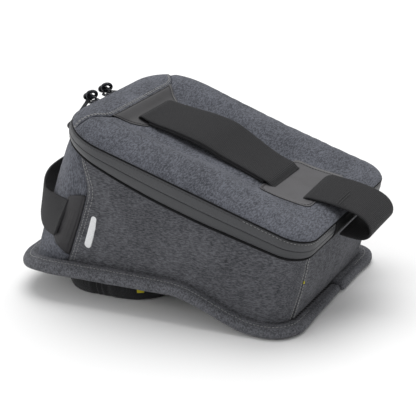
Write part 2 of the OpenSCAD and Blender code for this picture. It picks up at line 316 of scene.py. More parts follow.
def sheet_mesh(name, grid, material, crease=0):
    """An open sheet from a grid of points."""
    rows, cols = grid.shape[:2]
    return make(name, grid, grid_faces(rows, cols), material, crease)


def loft(name, rings, material, wrap_rings=False, crease=40):
    """A closed shell over rings of points, each ring closed on itself."""
    rings = np.asarray(rings, float)
    count, sides = rings.shape[:2]
    faces = grid_faces(count, sides, wrap=True)
    if wrap_rings:
        for c in range(sides):
            d = (c + 1) % sides
            faces.append(((count - 1) * sides + c, (count - 1) * sides + d, d, c))
    else:
        faces += cap_faces(count, sides)
    return recalc(make(name, rings, faces, material, crease))


def tube(name, path, radius, material, sides=10, closed=False, up=(0, 0, 1)):
    """A round tube along a path."""
    path = np.asarray(path, float)
    ahead = unit(np.roll(path, -1, 0) - np.roll(path, 1, 0) if closed else np.gradient(path, axis=0))
    side = unit(np.cross(ahead, np.broadcast_to(up, path.shape)))
    over = np.cross(side, ahead)
    turn = np.arange(sides) / sides * 2 * math.pi
    radius = np.broadcast_to(radius, (len(path),))[:, None, None]
    ring = side[:, None] * np.cos(turn)[None, :, None] + over[:, None] * np.sin(turn)[None, :, None]
    return loft(name, path[:, None] + radius * ring, material, wrap_rings=closed, crease=60)


def select(pieces):
    """Selects pieces only, the first as the active one."""
    bpy.ops.object.select_all(action="DESELECT")
    for piece in pieces:
        piece.select_set(True)
    bpy.context.view_layer.objects.active = pieces[0]


def join(name, pieces):
    """Several objects as one."""
    select(pieces)
    bpy.ops.object.join()
    pieces[0].name = name
    pieces[0].data.name = name
    return pieces[0]


def modify(piece, kind, **settings):
    """Adds a modifier and applies it."""
    modifier = piece.modifiers.new(kind.lower(), kind)
    for key, value in settings.items():
        setattr(modifier, key, value)
    select([piece])
    bpy.ops.object.modifier_apply(modifier=modifier.name)
    return piece


def thicken(piece, thickness):
    """Gives a sheet thickness, away from the side that it looks to."""
    return modify(piece, "SOLIDIFY", thickness=thickness * MM, offset=-1)


def subdivide(piece):
    """Rounds a sheet off once."""
    return modify(piece, "SUBSURF", levels=1, render_levels=1)


def stamp(piece, name, values):
    """Stores a vector per vertex, in mm, for the materials to read."""
    values = np.asarray(values, float).reshape(-1, 3)
    attribute = piece.data.attributes.new(name, "FLOAT_VECTOR", "POINT")
    attribute.data.foreach_set("vector", values.astype(np.float32).ravel())
    return piece


def resample(path, step):
    """Points a step apart along a path."""
    path = np.asarray(path, float)
    length = run_of(path)
    count = max(2, int(round(length[-1] / step)) + 1)
    at = np.linspace(0, length[-1], count)
    return np.stack([np.interp(at, length, path[:, k]) for k in range(3)], 1)


def place(piece, body, slot, *nodes):
    """Rides a piece on a body and lets it stand for CAD nodes. Its slot is not used."""
    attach(piece, body)
    if nodes:
        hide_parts(*nodes)
    return piece


# ---------------------------------------------------------------- materials


class Nodes:
    """A short way to write a material's nodes."""

    def __init__(self, name, rough, shine=0.5, sheen=0.0, coat=0.0, metal=0.0):
        self.material = bpy.data.materials.new(name)
        self.material.use_nodes = True
        self.tree = self.material.node_tree
        self.shader = self.tree.nodes["Principled BSDF"]
        self.shader.inputs["Roughness"].default_value = rough
        self.shader.inputs["Specular IOR Level"].default_value = shine
        self.shader.inputs["Sheen Weight"].default_value = sheen
        self.shader.inputs["Coat Weight"].default_value = coat
        self.shader.inputs["Metallic"].default_value = metal

    def add(self, kind, inputs=None, **settings):
        """A node with its inputs linked or set."""
        node = self.tree.nodes.new("ShaderNode" + kind)
        for key, value in settings.items():
            setattr(node, key, value)
        for key, value in (inputs or {}).items():
            if isinstance(value, bpy.types.NodeSocket):
                self.tree.links.new(value, node.inputs[key])
            else:
                node.inputs[key].default_value = value
        return node

    def coords(self, scale, attribute=None):
        """Coordinates in mm, times a scale per axis, from the object or from a stored attribute."""
        if attribute:
            source = self.add("Attribute", attribute_name=attribute).outputs["Vector"]
            factor = 1.0
        else:
            source = self.add("TexCoord").outputs["Object"]
            factor = 1 / MM
        return self.add("Mapping", {"Vector": source, "Scale": [s * factor for s in scale]}).outputs["Vector"]

    def strip(self):
        """The three parts of the stored strip attribute."""
        vector = self.add("Attribute", attribute_name="strip").outputs["Vector"]
        return self.add("SeparateXYZ", {"Vector": vector}).outputs

    def noise(self, vector, detail=2.0, rough=0.5):
        """Noise of about one cell per unit of the vector."""
        inputs = {"Vector": vector, "Scale": 1.0, "Detail": detail, "Roughness": rough}
        return self.add("TexNoise", inputs).outputs["Fac"]

    def grain(self, density, detail=2.0):
        """Even noise with a number of cells per mm."""
        return self.noise(self.coords((density,) * 3), detail)

    def cells(self, density, feature="F1"):
        """Distance to the middle of scattered cells, with a number of cells per mm."""
        inputs = {"Vector": self.coords((density,) * 3), "Scale": 1.0}
        return self.add("TexVoronoi", inputs, feature=feature).outputs["Distance"]

    def ramp(self, value, low, high, dark=0.0, light=1.0):
        """An eased step from dark to light as a value goes from low to high."""
        inputs = {"Value": value, "From Min": low, "From Max": high, "To Min": dark, "To Max": light}
        return self.add("MapRange", inputs, interpolation_type="SMOOTHSTEP").outputs["Result"]

    def math(self, operation, a, b=0.0, c=0.0):
        """Arithmetic on values."""
        return self.add("Math", {0: a, 1: b, 2: c}, operation=operation).outputs["Value"]

    def times(self, a, b):
        """The product of two values."""
        return self.math("MULTIPLY", a, b)

    def plus(self, a, share, b):
        """The sum of b and a share of a."""
        return self.math("MULTIPLY_ADD", a, share, b)

    def wave(self, value, pitch):
        """A sine wave of a value, with a pitch in mm."""
        return self.math("SINE", self.times(value, 2 * math.pi / pitch))

    def colour(self, factor, dark, light):
        """Base colour between two colours."""
        node = self.add("Mix", data_type="RGBA")
        self.tree.links.new(factor, node.inputs[0])
        node.inputs[6].default_value = (*dark, 1)
        node.inputs[7].default_value = (*light, 1)
        self.tree.links.new(node.outputs[2], self.shader.inputs["Base Color"])

    def rough(self, socket):
        """Roughness from a node."""
        self.tree.links.new(socket, self.shader.inputs["Roughness"])

    def bump(self, height, distance, strength):
        """Relief from a height, over a distance in mm."""
        node = self.add("Bump", {"Height": height, "Distance": distance * MM, "Strength": strength})
        self.tree.links.new(node.outputs["Normal"], self.shader.inputs["Normal"])

    def weave(self, vector, pitch):
        """Crossed threads a pitch apart."""
        parts = self.add("SeparateXYZ", {"Vector": vector}).outputs
        x, y, z = (self.wave(part, pitch) for part in parts)
        crossed = self.times(x, y)
        return self.math("ADD", self.times(crossed, z), crossed)


def heather(name, dark, light, grain):
    """Melange fabric: short flecks of lighter yarn along one direction, over a fine plain weave."""
    n = Nodes(name, rough=0.92, shine=0.12, sheen=0.06)
    n.shader.inputs["Sheen Roughness"].default_value = 0.6
    flecks = n.noise(n.coords([g * 0.75 for g in grain]), 3.0, 0.6)
    fine = n.noise(n.coords([g * 2.0 for g in grain]), 1.0)
    patchy = n.grain(0.028)
    mottle = n.grain(0.22)
    amount = n.ramp(flecks, 0.34, 0.66)
    amount = n.plus(n.ramp(fine, 0.26, 0.74), 0.3, n.times(amount, 0.66))
    amount = n.plus(n.ramp(mottle, 0.3, 0.7, -0.5, 0.5), 0.14, amount)
    amount = n.plus(n.ramp(patchy, 0.3, 0.7, -0.5, 0.5), 0.2, amount)
    n.colour(amount, dark, light)
    n.rough(n.ramp(fine, 0.2, 0.8, 0.84, 0.97))
    threads = n.weave(n.coords((1, 1, 1)), 0.7)
    n.bump(n.plus(threads, 0.35, fine), 0.16, 0.8)
    return n.material


# distances between the ribs or cords of a weave
RIB_PITCH = 1.1
WALE_PITCH = 0.9
BAND_RIB_PITCH = 1.15
NET_PITCH = 2.2


def webbing(name, base, edge):
    """Ribbed webbing. Its strip attribute runs along, then across, in mm."""
    n = Nodes(name, rough=0.72, shine=0.2, sheen=0.03)
    along, across, _ = n.strip()
    wander = n.noise(n.coords((0.25, 0.6, 1), "strip"), 1.0)
    phase = n.plus(wander, 0.5, n.times(along, 1 / RIB_PITCH))
    rib = n.wave(phase, 1.0)
    wale = n.wave(across, WALE_PITCH)
    height = n.plus(n.times(wale, rib), 0.35, rib)
    fuzz = n.noise(n.coords((1.4, 1.4, 1.4), "strip"), 3.0)
    shade = n.plus(n.ramp(rib, -1.0, 1.0), 0.5, n.times(fuzz, 0.6))
    n.colour(shade, base, edge)
    n.rough(n.ramp(fuzz, 0.3, 0.7, 0.62, 0.85))
    n.bump(n.plus(fuzz, 0.5, height), 0.28, 0.9)
    return n.material


def leather(name, base, light, rough=0.5):
    """Smooth synthetic leather with a fine pebbled grain."""
    n = Nodes(name, rough=rough)
    wide = n.grain(0.09, 3.0)
    fine = n.grain(2.5)
    n.colour(n.ramp(wide, 0.3, 0.7), base, light)
    n.rough(n.ramp(wide, 0.25, 0.75, rough - 0.07, rough + 0.1))
    n.bump(n.plus(fine, 0.3, n.cells(1.1, "SMOOTH_F1")), 0.09, 0.7)
    return n.material


def coated(name, base, light, ribbed):
    """Coated band fabric. Its strip attribute holds the length round the band, then the height share."""
    n = Nodes(name, rough=0.5)
    along, share, _ = n.strip()
    wide = n.grain(0.05, 3.0)
    fine = n.grain(1.6, 3.0)
    rib = n.wave(along, BAND_RIB_PITCH)
    zone = n.times(n.ramp(share, 0.42, 0.55), n.ramp(share, 0.97, 0.9))
    ribs = n.times(n.times(rib, zone), ribbed)
    tone = n.plus(n.ramp(fine, 0.3, 0.7), 0.35, n.times(wide, 0.6))
    tone = n.plus(ribs, 0.12, tone)
    n.colour(tone, base, light)
    n.rough(n.ramp(wide, 0.3, 0.7, 0.42, 0.58))
    n.bump(n.plus(fine, 0.3, ribs), 0.07, 0.45)
    return n.material


def plain_weave(name, base, light, pitch=0.8, rough=0.85, sheen=0.1):
    """Plain woven fabric."""
    n = Nodes(name, rough=rough, shine=0.25, sheen=sheen)
    threads = n.weave(n.coords((1, 1, 1)), pitch)
    cloudy = n.grain(0.12, 4.0)
    fine = n.grain(1.3, 3.0)
    tone = n.plus(n.ramp(fine, 0.3, 0.7), 0.5, n.times(cloudy, 0.6))
    n.colour(tone, base, light)
    n.rough(n.ramp(cloudy, 0.3, 0.7, rough - 0.08, rough + 0.08))
    n.bump(n.plus(fine, 0.6, threads), 0.12, 0.8)
    return n.material


def thread(name, base, light):
    """Twisted sewing thread."""
    n = Nodes(name, rough=0.6, sheen=0.05)
    twist = n.grain(3.0)
    n.colour(n.ramp(twist, 0.3, 0.7), base, light)
    n.bump(twist, 0.1, 0.6)
    return n.material


def hard(name, base, light, rough, metal=0.0, grain=0.9, depth=0.05, coat=0.0, shine=0.4):
    """Moulded plastic, rubber or painted metal with a slightly uneven surface."""
    n = Nodes(name, rough=rough, shine=shine, coat=coat, metal=metal)
    wide = n.grain(0.15, 3.0)
    fine = n.grain(grain, 3.0)
    n.colour(n.ramp(wide, 0.3, 0.7), base, light)
    n.rough(n.ramp(fine, 0.3, 0.7, max(0.05, rough - 0.08), rough + 0.1))
    n.bump(fine, depth, 0.7)
    return n.material


def reflective_film(name):
    """Light retro-reflective film with a fine cell pattern."""
    n = Nodes(name, rough=0.38, coat=0.2)
    tone = n.ramp(n.cells(1.6), 0.0, 0.8)
    n.colour(tone, (0.80, 0.81, 0.82), (0.66, 0.67, 0.68))
    n.bump(tone, 0.04, 0.5)
    return n.material


def netting(name):
    """Stretch mesh, drawn as dark cord with light between."""
    n = Nodes(name, rough=0.8)
    x, y, _ = n.add("SeparateXYZ", {"Vector": n.coords((1, 1, 1))}).outputs
    cells = n.times(n.wave(x, NET_PITCH), n.wave(y, NET_PITCH))
    n.colour(n.ramp(cells, 0.25, 0.6), (0.012, 0.012, 0.013), (0.09, 0.095, 0.10))
    n.bump(n.ramp(cells, 0.5, 0.2), 0.3, 0.9)
    return n.material


DARK, LIGHT = (0.034, 0.036, 0.0435), (0.147, 0.154, 0.181)
# the brim's tones are a lighter copy of the lid's heather: painted light on the brim
BRIM_DARK, BRIM_LIGHT = (0.037, 0.038, 0.043), (0.156, 0.159, 0.176)
SIDE_DARK, SIDE_LIGHT = (0.033, 0.034, 0.039), (0.135, 0.137, 0.151)
M = {
    "lid": heather("heather_lid", DARK, LIGHT, (1.25, 0.42, 1.25)),
    "side": heather("heather_side", SIDE_DARK, SIDE_LIGHT, (0.42, 1.1, 1.45)),
    "end": heather("heather_end", DARK, LIGHT, (1.2, 1.2, 0.5)),
    # brim: the lighter copy of the lid's heather, painted light
    "brim": heather("heather_brim_lit", BRIM_DARK, BRIM_LIGHT, (1.0, 1.0, 0.8)),
    "web": webbing("ribbed_webbing", (0.004, 0.004, 0.0045), (0.040, 0.040, 0.043)),
    # the wide patch's leather is coloured lighter than the narrow patch's as painted sheen
    "leather": leather("patch_leather", (0.040, 0.0385, 0.042), (0.058, 0.056, 0.061)),
    "leather_mid": leather("patch_leather_mid", (0.018, 0.017, 0.019), (0.030, 0.029, 0.032)),
    "leather_dark": leather("patch_leather_dark", (0.014, 0.013, 0.015), (0.024, 0.023, 0.026), rough=0.6),
    # both halves of the band are one coated fabric: the upper half's copy is coloured lighter than the
    # lower's as painted sheen
    "band": coated("band_upper_sheen", (0.026, 0.027, 0.030), (0.066, 0.068, 0.074), 1.0),
    "band_low": coated("band_lower", (0.022, 0.023, 0.026), (0.050, 0.052, 0.056), 0.0),
    # near-black piping: partly its own dark rubber and partly painted shade for the creases at the lid's edge
    # and under the band
    "piping": hard("piping_rubber_crease_shade", (0.004, 0.004, 0.0045), (0.007, 0.007, 0.008), 0.8, shine=0.15),
    "tape": plain_weave("zip_tape", (0.010, 0.010, 0.011), (0.024, 0.024, 0.026), 0.6),
    "coil": hard("zip_coil", (0.012, 0.012, 0.013), (0.022, 0.022, 0.024), 0.4),
    "lining": plain_weave("lining_fabric", (0.115, 0.120, 0.130), (0.20, 0.205, 0.215), 0.7),
    # the hinge cover's near-black is partly its own dark fabric and partly painted shade in the hollow behind
    # the pull loop
    "cover": plain_weave("hinge_fabric_and_shade", (0.003, 0.003, 0.0034), (0.008, 0.008, 0.009), 1.0, sheen=0.0),
    "net": netting("pocket_net"),
    "foam": hard("foam", (0.05, 0.05, 0.05), (0.08, 0.08, 0.08), 0.95, depth=0.3),
    "grip": hard("grip_rubber", (0.012, 0.012, 0.013), (0.020, 0.020, 0.021), 0.8, grain=1.2, depth=0.25),
    "board": hard("board_plastic", (0.12, 0.12, 0.12), (0.17, 0.17, 0.17), 0.7),
    "film": reflective_film("reflective_film"),
    "metal": hard("slider_paint", (0.010, 0.011, 0.014), (0.020, 0.022, 0.028), 0.32, metal=0.6, coat=0.3),
    "web_cord": plain_weave("pull_cord", (0.010, 0.011, 0.014), (0.03, 0.032, 0.038), 0.6),
    "side_end": heather("heather_wide_end", SIDE_DARK, SIDE_LIGHT, (1.3, 0.35, 1.3)),
    "pull": hard("pull_rubber", (0.010, 0.011, 0.014), (0.018, 0.020, 0.025), 0.5),
    "boot": plain_weave("boot_fabric", (0.0065, 0.0066, 0.0076), (0.017, 0.017, 0.019), 0.9, rough=0.75),
    "plate": hard("plate_plastic", (0.018, 0.018, 0.018), (0.028, 0.028, 0.028), 0.5),
    "tab": plain_weave("tab_ribbon", (0.42, 0.36, 0.01), (0.62, 0.54, 0.03), 0.5),
    "thread": thread("thread_grey", (0.19, 0.19, 0.19), (0.36, 0.36, 0.355)),
    "thread_dark": thread("thread_dark", (0.010, 0.010, 0.011), (0.022, 0.022, 0.024)),
    "thread_yellow": thread("thread_yellow", (0.45, 0.40, 0.02), (0.62, 0.56, 0.05)),
}

# ---------------------------------------------------------------- the bag's shape

BRIM_A = 8.0  # half the width of the brim's roll
BRIM_CLEAR = 0.25  # the brim stands this far off the ground
BRIM_R_NARROW, BRIM_R_WIDE = 40, 19
FOOT_R_NARROW, FOOT_R_WIDE = 35, 19
FOOT_IN = 6.0  # how far the wall's foot lies inside the middle of the brim
BRIM_X0, BRIM_X1 = BRIM_LOW[0] + BRIM_A, BRIM_HIGH[0] - BRIM_A
BRIM_HALF = BRIM_HIGH[1] - BRIM_A


def brim_z(x):
    """Underside of the brim: flat at the wide end, arched, drooping at the narrow end."""
    return ARCH_H * smooth((86 - x) / 80) - 6 * smooth((-117 - x) / 32)


def brim_b(x):
    """Half the height of the brim's roll, which is slimmer towards the wide end."""
    return mix(6.0, 4.6, smooth((x + 80) / 190))


def band_low(u):
    """Lower edge of the zipped band in the lid's frame: low on the sides' middles, higher at both ends."""
    return -BAND_H * curve(
        u,
        (-117, -100, -83, -60, -37, 0, 27, 58, 91, 117),
        (0.53, 0.57, 0.65, 0.79, 0.89, 0.955, 0.95, 0.88, 0.80, 0.72),
    )


def foot_edge(p, inset=0.0):
    """Outline of the wall's foot, closer to the brim's outer edge at the wide end."""
    i = FOOT_IN + inset
    radii = FOOT_R_NARROW - inset, FOOT_R_WIDE - inset
    x, y = outline(p, BRIM_X0 + i, BRIM_X1 - i + 2.5, BRIM_HALF - i, *radii)
    return x, y * (1 + 0.025 * smooth((x + 80) / 190))


def from_end(p):
    """Share of the way from the narrow end's middle to the wide end's, on either side."""
    p = np.mod(p, 2)
    return np.minimum(p, 2 - p)


BAG_MIDDLE = (0, 0, 60)
WALL_COVER_T = 2.0
END_PUFF = 5.0  # how far the narrow end bulges out


def hollow(p):
    """How hollow the wall is between brim and band: full at the narrow end and hollow elsewhere."""
    return mix(-0.2, 0.35, smooth((from_end(p) - 0.08) / 0.2))


def wall(p, s, inset=0.0):
    """Points of the bag's wall: p runs round the outline and s up from the brim to the band."""
    p, s = np.broadcast_arrays(np.asarray(p, float), np.asarray(s, float))
    x, y = foot_edge(p, inset)
    foot_z = brim_z(x) + 2 * brim_b(x) + 0.3
    u, v = lid_edge(p, -3.2 - inset)
    high = lid(u, v, band_low(u) - 1.5)
    h = s + hollow(p) * s * (1 - s)
    nx, ny = normals_at(p, foot_edge)
    near_end = smooth((0.34 - from_end(p)) / 0.14)
    out = END_PUFF * near_end * np.sin(np.pi * np.clip(s, 0, 1)) ** 0.5 * mix(0.4, 1, s)
    x, y = mix(x, high[..., 0], h) + nx * out, mix(y, high[..., 1], h) + ny * out
    return np.stack([x, y, mix(foot_z, high[..., 2], s)], -1)


def narrow_seam(s):
    """Outline place of the seam between the narrow end and a side, by height."""
    return curve(s, (-0.05, 0.28, 0.54, 0.78, 0.9, 1.05), (0.333, 0.315, 0.305, 0.295, 0.279, 0.250))


def wide_seam(s):
    """Outline place of the seam at the wide corner, by height."""
    return mix(0.882, 0.903, s)


def far_narrow_seam(s):
    """The narrow end's seam on the far side."""
    return -narrow_seam(s)


def far_wide_seam(s):
    """The wide corner's seam on the far side."""
    return 2 - wide_seam(s)


def band_point(p, out, share):
    """Points on the zipped band: share is 0 at its lower edge and 1 at the lid."""
    u, v = lid_edge(p)
    nu, nv = normals_at(p, lid_edge)
    return lid(u + nu * out, v + nv * out, band_low(u) * (1 - share))


def inset_of(u, v):
    """How far a point lies inside the lid's outline."""
    r = np.where(u < 0, LID_R_NARROW, LID_R_WIDE)
    x = np.abs(u) - (LID_HALF_L - r)
    y = np.abs(v) - (LID_HALF_W - r)
    return r - np.hypot(np.maximum(x, 0), np.maximum(y, 0)) - np.minimum(np.maximum(x, y), 0)


SEAM_U = -85.0  # the yoke seam's u across the lid's middle
SEAM_V = 79.3  # its far end's v
SEAM_P = 0.2405  # and that end's place on the lid's outline


def yoke_seam(v):
    """The seam's u where it crosses v."""
    return SEAM_U - curve(np.abs(v), (0, 46, 54, 66, SEAM_V), (0, 0, 2, 10, 15.4))


def lobe(u):
    """Height of the padded lobes along both sides of the lid."""
    return curve(u, (-117, -88, -68, -35, 5, 45, 90, 117), (10.5, 13.2, 13.2, 11.4, 9.4, 7.6, 6.8, 6.4))


def valley(u):
    """Height of the lid's drawn-down middle, from the yoke seam to the wide end."""
    return curve(
        u,
        (-117, -85, -74, -60, -30, 8, 48, 60, 85, 96, 106, 117),
        (10.0, 9.9, 6.2, 4.3, 1.9, 1.2, 0.6, 0.6, 3.2, 5.4, 6.2, 6.0),
    )


CROWN_REACH = 23.0


def edge_share(d):
    """Share of the crown's height at a distance inside the lid's outline."""
    t = np.clip(1 - d / CROWN_REACH, 0, 1)
    return np.maximum(1 - t**2.2, 0) ** (1 / 1.7)


def crown(u, v, yoke=False):
    """Height of the lid's padded crown over its edge."""
    u, v = np.broadcast_arrays(np.asarray(u, float), np.asarray(v, float))
    middle = curve(u, (-117, -100, -85), (8.5, 11.2, 11.8)) if yoke else valley(u)
    wide = 32 if yoke else 27
    across = smooth((np.abs(v) - mix(38.0, 31.0, smooth((u + 40) / 60))) / wide)
    top = mix(middle, lobe(u), across)
    return 0.9 + (top - 0.9) * edge_share(inset_of(u, v))


def on_crown(plan, height):
    """Points at a height over the lid's crown, from a plan in u and v."""
    u, v = plan[..., 0], plan[..., 1]
    return lid(u, v, crown(u, v) + height)


# ---------------------------------------------------------------- cloth and stitches

CLOTH_STEPS = 20


def settle(piece, pins, pressure, growth, cap):
    """Lets a padded cover settle as cloth, held at its pins, and keeps the move within a cap in mm."""
    before = np.array([v.co for v in piece.data.vertices])
    group = piece.vertex_groups.new(name="held")
    for i, weight in enumerate(pins):
        if weight > 0:
            group.add([i], float(weight), "REPLACE")
    modifier = piece.modifiers.new("cloth", "CLOTH")
    cloth = modifier.settings
    cloth.quality = 6
    cloth.mass = 0.25
    cloth.tension_stiffness = 25
    cloth.compression_stiffness = 25
    cloth.shear_stiffness = 10
    cloth.bending_stiffness = 3.0
    cloth.vertex_group_mass = "held"
    cloth.use_pressure = True
    cloth.uniform_pressure_force = pressure
    cloth.shrink_min = -growth
    cloth.effector_weights.gravity = 0
    modifier.collision_settings.use_collision = False
    scene = bpy.context.scene
    modifier.point_cache.frame_start = 1
    modifier.point_cache.frame_end = CLOTH_STEPS
    for frame_number in range(1, CLOTH_STEPS + 1):
        scene.frame_set(frame_number)
    settled = piece.evaluated_get(bpy.context.evaluated_depsgraph_get())
    after = np.array([v.co for v in settled.data.vertices])
    piece.modifiers.remove(modifier)
    piece.vertex_groups.clear()
    scene.frame_set(1)
    move = after - before
    length = np.linalg.norm(move, axis=1, keepdims=True)
    limit = cap * MM
    move *= limit * np.tanh(length / limit) / np.maximum(length, 1e-9)
    piece.data.vertices.foreach_set("co", (before + move).astype(np.float32).ravel())
    piece.data.update()
    return piece


def edge_pins(rows, cols, soft=2):
    """Pin weights for a grid: full along its edges and less just inside them."""
    r = np.minimum(np.arange(rows), np.arange(rows)[::-1])[:, None]
    c = np.minimum(np.arange(cols), np.arange(cols)[::-1])[None]
    return np.clip(1 - np.minimum(r, c) / soft, 0, 1)


STITCH_SIDES = 6
STITCH_RINGS = ((-0.5, 0.55), (-0.32, 1.0), (0.32, 1.0), (0.5, 0.55))  # place along, share of the radius
STITCH_FACES = grid_faces(len(STITCH_RINGS), STITCH_SIDES, wrap=True)
STITCH_FACES += cap_faces(len(STITCH_RINGS), STITCH_SIDES)


def stitches(name, paths, target, material, pitch, length, radius, sink=0.1):
    """Rows of stitches along paths, laid on a piece's surface."""
    tree = BVHTree.FromObject(target, bpy.context.evaluated_depsgraph_get())
    points, faces = [], []
    for path in paths:
        at = resample(path, pitch)
        middle, ahead = (at[1:] + at[:-1]) / 2, at[1:] - at[:-1]
        for centre, direction in zip(middle, ahead):
            hit, normal, _, _ = tree.find_nearest(Vector(centre * MM))
            if hit is None:
                continue
            normal = np.array(normal)
            direction = direction - normal * direction.dot(normal)
            direction /= max(np.linalg.norm(direction), 1e-9)
            across = np.cross(normal, direction)
            base = np.array(hit) / MM + normal * (radius - sink - 0.1)
            faces += moved(STITCH_FACES, len(points))
            for place_along, size in STITCH_RINGS:
                for k in range(STITCH_SIDES):
                    turn = 2 * math.pi * k / STITCH_SIDES
                    reach = across * math.cos(turn) + normal * math.sin(turn)
                    points.append(base + direction * length * place_along + reach * radius * size)
    return recalc(make(name, points, faces, material, 0))


def sew(name, paths, target, colour, body, slot, *size):
    """Stitches that ride with the piece they are sewn to."""
    return place(stitches(name, paths, target, M[colour], *size), body, slot)


# ---------------------------------------------------------------- lid


LID_CORNER_P = 0.855  # where the lid panel's side turns into its wide end
LID_COVER_T = 1.6


def lid_panel():
    """The lid's cover from the yoke seam to the wide end."""
    rows, cols = 76, 92
    v = SEAM_V * np.linspace(-1, 1, rows)
    left = np.stack([yoke_seam(v), v], -1)
    p = mix(LID_CORNER_P, 2 - LID_CORNER_P, np.linspace(0, 1, rows))
    right = np.stack(lid_edge(p), -1)
    low = np.stack(lid_edge(np.linspace(SEAM_P, LID_CORNER_P, cols)), -1)
    high = low * (1, -1)
    left[0], left[-1] = low[0], high[0]
    plan = coons(left, right, low, high)
    u, v = plan[..., 0], plan[..., 1]
    w = crown(u, v)
    near_seam = u - yoke_seam(v)
    w = w - 1.6 * bell(near_seam, 0, 2.2) * (np.abs(v) < 78)
    ripple = np.sin(v * 0.62 + 1.3 * np.sin(v * 0.21)) * np.exp(-near_seam / 7) * 0.25
    d = inset_of(u, v)
    w = w + ripple + 0.12 * np.sin(u * 0.55 + 1.7 * np.sin(u * 0.13)) * np.exp(-d / 9) * smooth(d / 3)
    piece = sheet_mesh("lid_cover", lid(u, v, w), M["lid"])
    look_along(piece, W_AXIS)
    under = (np.abs(v) < 40) & ((u < -50) | (u > 44))
    pins = np.maximum(edge_pins(rows, cols), np.where(under, 1.0, 0.0))
    settle(piece, pins.ravel(), 3.5, 0.004, 1.5)
    return thicken(subdivide(piece), LID_COVER_T)


def lid_yoke():
    """The lid's cover from the narrow end to the yoke seam."""
    rows, cols = 60, 16
    t = np.linspace(-1, 1, rows)
    edge = np.stack(lid_edge(SEAM_P * t), -1)
    v = -SEAM_V * t
    seam = np.stack([yoke_seam(v), v], -1)
    seam[0], seam[-1] = edge[0], edge[-1]
    c = np.linspace(0, 1, cols)[None, :, None]
    plan = (1 - c) * edge[:, None] + c * seam[:, None]
    u, v = plan[..., 0], plan[..., 1]
    w = crown(u, v, yoke=True)
    back = yoke_seam(v) - u
    w = w - 1.1 * bell(back, 0, 1.3) * smooth((78 - np.abs(v)) / 10)
    w = w + 0.25 * np.sin(v * 0.5 + 1.1 * np.sin(v * 0.17)) * np.exp(-back / 8) * smooth(inset_of(u, v) / 5)
    piece = sheet_mesh("yoke_cover", lid(u, v, w), M["lid"])
    look_along(piece, W_AXIS)
    settle(piece, edge_pins(rows, cols).ravel(), 3.5, 0.012, 1.6)
    return thicken(subdivide(piece), LID_COVER_T)


def edge_path(out, w, count):
    """A path all round the lid's edge."""
    p = around(count)
    u, v = lid_edge(p)
    nu, nv = normals_at(p, lid_edge)
    return lid(u + nu * out, v + nv * out, w + 0 * u)


def band_swell(share):
    """How far the band stands out: one round swell over both halves, with a fine line at the zip."""
    whole = np.sin(np.pi * np.clip(share, 0, 1)) ** 0.55
    return 2.3 * whole - 0.9 - 0.4 * bell(share, 0.5, 0.022)


BAND_COLS = 300
TWO_RIBS = 2 * BAND_RIB_PITCH


def band_half(name, low_share, high_share, material):
    """Half of the zipped band: a belt tucked in at the lid's crease or the body's."""
    rows = 12
    p = around(BAND_COLS)[None]
    k = np.linspace(0, 1, rows)[:, None]
    share = mix(low_share, high_share, k)
    wander = 0.22 * np.sin(p * 21 + 2 * np.sin(p * 5.3)) * np.sin(np.pi * share)
    grid = band_point(p, band_swell(share) + wander, share)
    piece = make(name, grid, grid_faces(rows, BAND_COLS, wrap=True), material, 0)
    length = run_of(grid[0])
    girth = length[-1] * BAND_COLS / (BAND_COLS - 1)
    length = length / girth * TWO_RIBS * round(length[-1] / TWO_RIBS)
    along = np.broadcast_to(length, (rows, BAND_COLS))
    stamp(piece, "strip", np.stack([along, share + 0 * p, 0 * along], -1))
    face_away(piece, LID_ORIGIN)
    return thicken(subdivide(piece), 1.2)


TEETH = 480
TOOTH_FACES = ((0, 1, 2, 3), (7, 6, 5, 4), (0, 4, 5, 1), (1, 5, 6, 2), (2, 6, 7, 3), (3, 7, 4, 0))


def zip_half(name, side):
    """Zip tape behind the band, with the moulded teeth along its edge."""
    p = around(BAND_COLS)[None]
    inner = 0.5 + side * np.array((0.01, 0.05, 0.2, 0.38))[:, None]
    grid = band_point(p, -2.2 + 0 * inner, inner + 0 * p)
    tape = make("tape", grid, grid_faces(*grid.shape[:2], wrap=True), M["tape"], 0)
    face_away(tape, LID_ORIGIN)
    thicken(tape, 0.6)
    teeth_p = np.arange(0, 2, 2 / TEETH)
    edge = band_point(teeth_p, -1.6, 0.5 + side * 0.03)
    back = band_point(teeth_p, -1.6, 0.5 + side * 0.10)
    outer = band_point(teeth_p, -0.8, 0.5 + side * 0.03)
    points, faces = [], []
    for e, b, o, a in zip(edge, back, outer, unit(np.roll(edge, -1, 0) - edge)):
        faces += moved(TOOTH_FACES, len(points))
        depth = o - e
        for along in (-0.4, 0.4):
            for base in (e, b, b + depth * 0.8, e + depth):
                points.append(base + a * along)
    teeth = recalc(make("teeth", points, faces, M["coil"], 30))
    return join(name, [tape, teeth])


PATCH_T = 0.8
GROOVE_IN = 2.6


